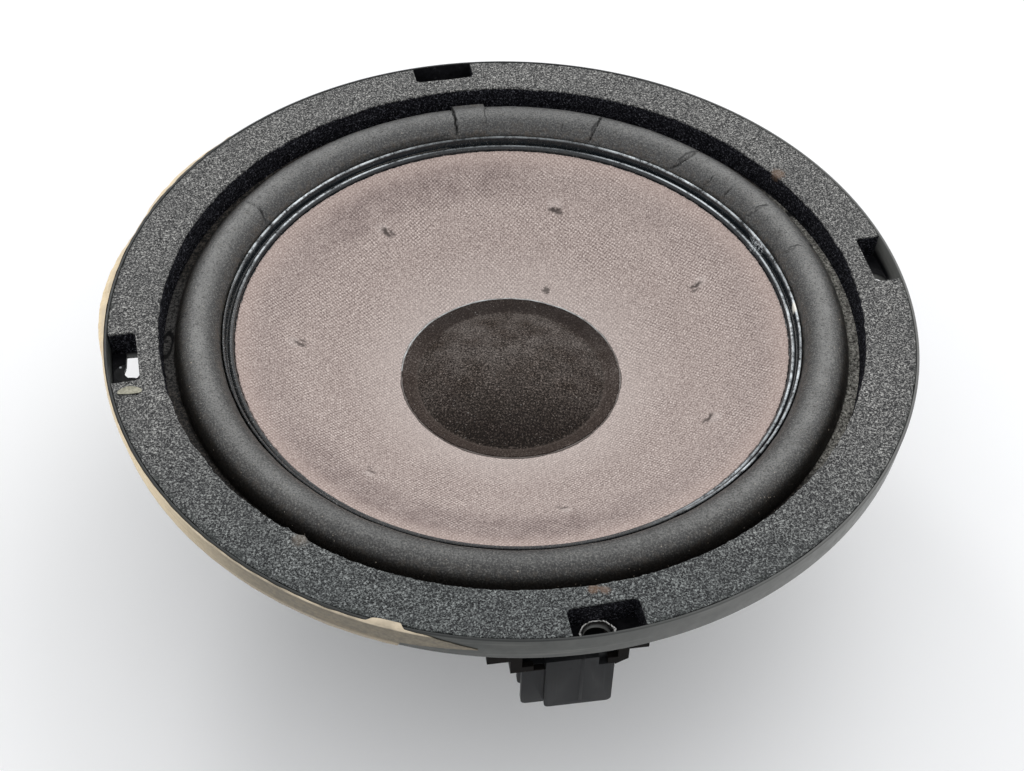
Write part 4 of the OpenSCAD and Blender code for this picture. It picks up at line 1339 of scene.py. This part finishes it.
def make_remnant():
    """Torn collar of a drilled-out rivet: its far half still stands, jagged, with bent ends."""
    columns = 144
    turn = np.arange(columns) * 360 / columns
    jag = wave(71, (5, 9, 14, 23, 31), (0.07, 0.07, 0.07, 0.07, 0.07))(turn)
    gap = np.abs(angle_gap(turn, 180))
    far = smooth_step(112, 88, gap)
    ears = np.exp(-((gap - 88) / 13) ** 2)
    top = FLANGE_Z + 0.2 + far * (0.75 + jag) + 0.45 * ears
    flare = far * 0.15 * np.abs(jag) + 0.30 * ears
    # Rings of the collar's section: step outwards, height, and how much of the flare each takes
    rings = [(-0.45, FLANGE_Z + 0 * top, 0), (-0.02, FLANGE_Z + 0 * top, 0), (0.0, top - 0.3 * far, 0.6),
             (0.0, top, 1.0), (-0.16, top - 0.04, 1.0), (-0.40, top - 0.3 * far, 0.5)]
    verts = []
    for k in range(columns):
        a = math.radians(turn[k])
        for step, z, lean in rings:
            grow = step + flare[k] * lean
            out = RIVET_R + (COLLAR_HALF[0] + grow) * math.cos(a)
            verts.append(turned(out, (COLLAR_HALF[1] + grow) * math.sin(a), z[k], TORN_ANGLE))
    collar = piece("torn_collar", verts, grid_faces(columns, len(rings)),
                   "rivet", "rivet_alloy", "chassis", "rivet_remnant")
    outward(collar)
    sharpen(collar, 45)


TAPE_SPAN = (138, 267.2)
TAPE_LOW = 1.3
TAPE_HIGH = 8.68
TAPE_T = 0.16
# Where the tape's top and bottom edges start to close in on its torn point
TORN_TOP = 260.3
TORN_LOW = 257.3


def tape_lift(a):
    """How far the tape bulges away from the rim just below its top edge."""
    first = 1.6 * np.sin(np.pi * np.clip((a - 142.5) / 22.5, 0, 1)) ** 0.6
    second = 1.95 * np.sin(np.pi * np.clip((a - 165) / 29, 0, 1)) ** 0.9
    thin = 0.35 * smooth_step(189, 193, a) * smooth_step(222, 208, a)
    return np.maximum(np.maximum(first, second), thin)


def tape_edges(a):
    """Heights of the tape's lower and upper edge, ragged, closing in on a torn point at the front."""
    ragged = wave(81, (31, 59, 97, 151), (0.07, 0.06, 0.06, 0.05))(a)
    start = smooth_step(138, 142, a)
    top = TAPE_HIGH + ragged - (1 - start) * 2.5
    top = top + 0.6 * smooth_step(251, 256, a) * smooth_step(260.5, 256.4, a)
    past = np.clip((a - TORN_TOP) / (TAPE_SPAN[1] - TORN_TOP), 0, 1)
    top = top * (1 - past) + (4.75 + 0.3 * ragged) * past
    past = np.clip((a - TORN_LOW) / (TAPE_SPAN[1] - TORN_LOW), 0, 1)
    low = TAPE_LOW + 0.6 * ragged + (1 - start) * 1.5
    step = smooth_step(257.1, 257.5, a)
    low = low * (1 - step) + (2.9 + 1.65 * past + 0.5 * ragged) * step
    return low, np.maximum(top, low + 0.06)


def make_tape():
    """Old tape round the left of the rim, bulging in two places and folded over at its front."""
    columns = 640
    a = np.linspace(*TAPE_SPAN, columns)
    low, top = tape_edges(a)
    crinkle = wave(82, (17, 37, 71), (0.05, 0.05, 0.03))
    v = np.concatenate([np.linspace(0, 0.78, 8), (0.83, 0.88, 0.92, 0.95, 0.975, 1.0)])
    height = low[:, None] + (top - low)[:, None] * v[None, :]
    away = tape_lift(a)[:, None] * (smooth_step(0.1, 0.82, v) * smooth_step(1.02, 0.84, v))[None, :]
    fold = smooth_step(8.92, 9.2, height)
    skin = RIM_R + 0.08 + away + 0.14 * np.abs(crinkle(a[:, None] + 12 * v[None, :]))
    skin = skin + 0.09 * away * np.abs(crinkle(3 * a[:, None])) / 0.13 + rim_lean(a[:, None], height)
    fold_in = 1.3 * fold * smooth_step(251, 255.5, a)[:, None]
    height = np.where(fold_in > 0, np.minimum(height, FOAM_TOP + 0.14), height)
    angle = a[:, None] + 0 * height
    outer = polar(skin + TAPE_T - fold_in, angle, height + 0.1 * (fold_in > 0.3))
    inner = polar(skin - fold_in, angle, height)
    verts = np.concatenate([outer, inner[:, ::-1]], axis=1).reshape(-1, 3)
    around = 2 * len(v)
    faces = grid_faces(columns, around, around=False)
    faces += [list(range(around)), list(range((columns - 1) * around, columns * around))]
    tape = piece("paper_strip", verts, faces, "tape", "tape", "chassis", "rim_tape")
    outward(tape)
    sharpen(tape, 60)


FLAKE_AT = (-89.95, -33.4)
FLAKE_LONG = 5.6


def make_flake():
    """A curled sliver lying on the foam."""
    columns, rows = 28, 6
    verts = []
    for side in (1, 0):
        for i in range(columns):
            t = i / (columns - 1)
            half = 1.15 * (math.sin(math.pi * (t * 0.94 + 0.03)) ** 0.6) + 0.08
            for j in range(rows):
                s = j / (rows - 1) * 2 - 1
                x = (t - 0.5) * FLAKE_LONG
                y = s * half + 0.2 * x + 0.15 * math.sin(5 * t)
                z = FOAM_TOP + 0.04 + 0.18 * (s * half) ** 2 + 0.10 * math.sin(3.1 * t) + 0.13 * side
                verts.append((FLAKE_AT[0] + x, FLAKE_AT[1] + y, z))
    half_count = columns * rows
    top = grid_faces(columns, rows, around=False, closed=False)
    faces = []
    for a, b, b2, a2 in top:
        faces.append([a, b, b2, a2])
        faces.append([half_count + k for k in (a, a2, b2, b)])
    rim = [i * rows for i in range(columns)] + [(columns - 1) * rows + j for j in range(1, rows)]
    rim += [i * rows + rows - 1 for i in range(columns - 2, -1, -1)] + list(range(rows - 2, 0, -1))
    for here, ahead in zip(rim, rim[1:] + rim[:1]):
        faces.append([here, ahead, half_count + ahead, half_count + here])
    flake = piece("loose_flake", verts, faces, "flake", "tape", "chassis", "tape_flake")
    outward(flake)
    sharpen(flake, 60)


for make in (make_basket, make_ribs, make_foam, make_surround, make_cone_body, make_facing, make_cap,
             make_bead, make_spider, make_motor, make_plug, make_remnant, make_tape, make_flake):
    make()
for lead, u in zip(("tinsel_lead_a", "tinsel_lead_b"), BLADE_U):
    make_lead(lead, u)
for node, (look, width) in DRESSED.items():
    dress(node, look, width)


# ---------- stage, light and camera ----------

FLOOR_HALF = 3000
WORLD_COLOR = (0.975, 0.985, 1.0, 1)
WORLD_LIGHT = 0.97
# Lamps: name, place and width in metres, power in watts
LAMPS = (("soft_top", (0.30, 0.40, 0.60), 0.60, 1.2), ("window", (-0.45, 0.85, 0.75), 0.30, 1.8))
# The camera: its place in metres, how far it looks down, its roll, its lens and sensor, and its near limit
CAMERA_AT = (0.000375, -0.323475, 0.327310)
CAMERA_DOWN = 47.0457
CAMERA_ROLL = 2.0038
LENS = 64.007
SENSOR = 36
CLIP_START = 0.01


def make_floor():
    """The flat floor under the magnet."""
    low = FLOOR_Z - 0.02
    corners = [(x * FLOOR_HALF, y * FLOOR_HALF, low) for x, y in ((-1, -1), (1, -1), (1, 1), (-1, 1))]
    plane = piece("floor", corners, [[0, 1, 2, 3]], "floor")


def make_lights():
    """An even bright surrounding and two soft lamps."""
    world = bpy.data.worlds.new("studio")
    world.use_nodes = True
    background = world.node_tree.nodes["Background"]
    background.inputs[0].default_value = WORLD_COLOR
    background.inputs[1].default_value = WORLD_LIGHT
    bpy.context.scene.world = world
    for name, place, size, power in LAMPS:
        data = bpy.data.lights.new(name, "AREA")
        data.shape = "DISK"
        data.size = size
        data.energy = power
        lamp = bpy.data.objects.new(name, data)
        lamp.location = place
        lamp.rotation_euler = (-Vector(place)).to_track_quat("-Z", "Y").to_euler()
        bpy.context.collection.objects.link(lamp)


def make_camera():
    """The camera looks down at the front, with a slight roll."""
    tilt, roll = math.radians(CAMERA_DOWN), math.radians(CAMERA_ROLL)
    ahead = Vector((0, math.cos(tilt), -math.sin(tilt)))
    right = Vector((1, 0, 0))
    up = right.cross(ahead)
    across = right * math.cos(roll) + up * math.sin(roll)
    above = -right * math.sin(roll) + up * math.cos(roll)
    data = bpy.data.cameras.new("camera")
    data.sensor_width = SENSOR
    data.lens = LENS
    data.clip_start = CLIP_START
    camera = bpy.data.objects.new("camera", data)
    place = Matrix((across, above, -ahead)).transposed().to_4x4()
    place.translation = Vector(CAMERA_AT)
    camera.matrix_world = place
    bpy.context.collection.objects.link(camera)
    bpy.context.scene.camera = camera


make_floor()
make_lights()
make_camera()
bpy.context.scene.view_settings.view_transform = "Standard"
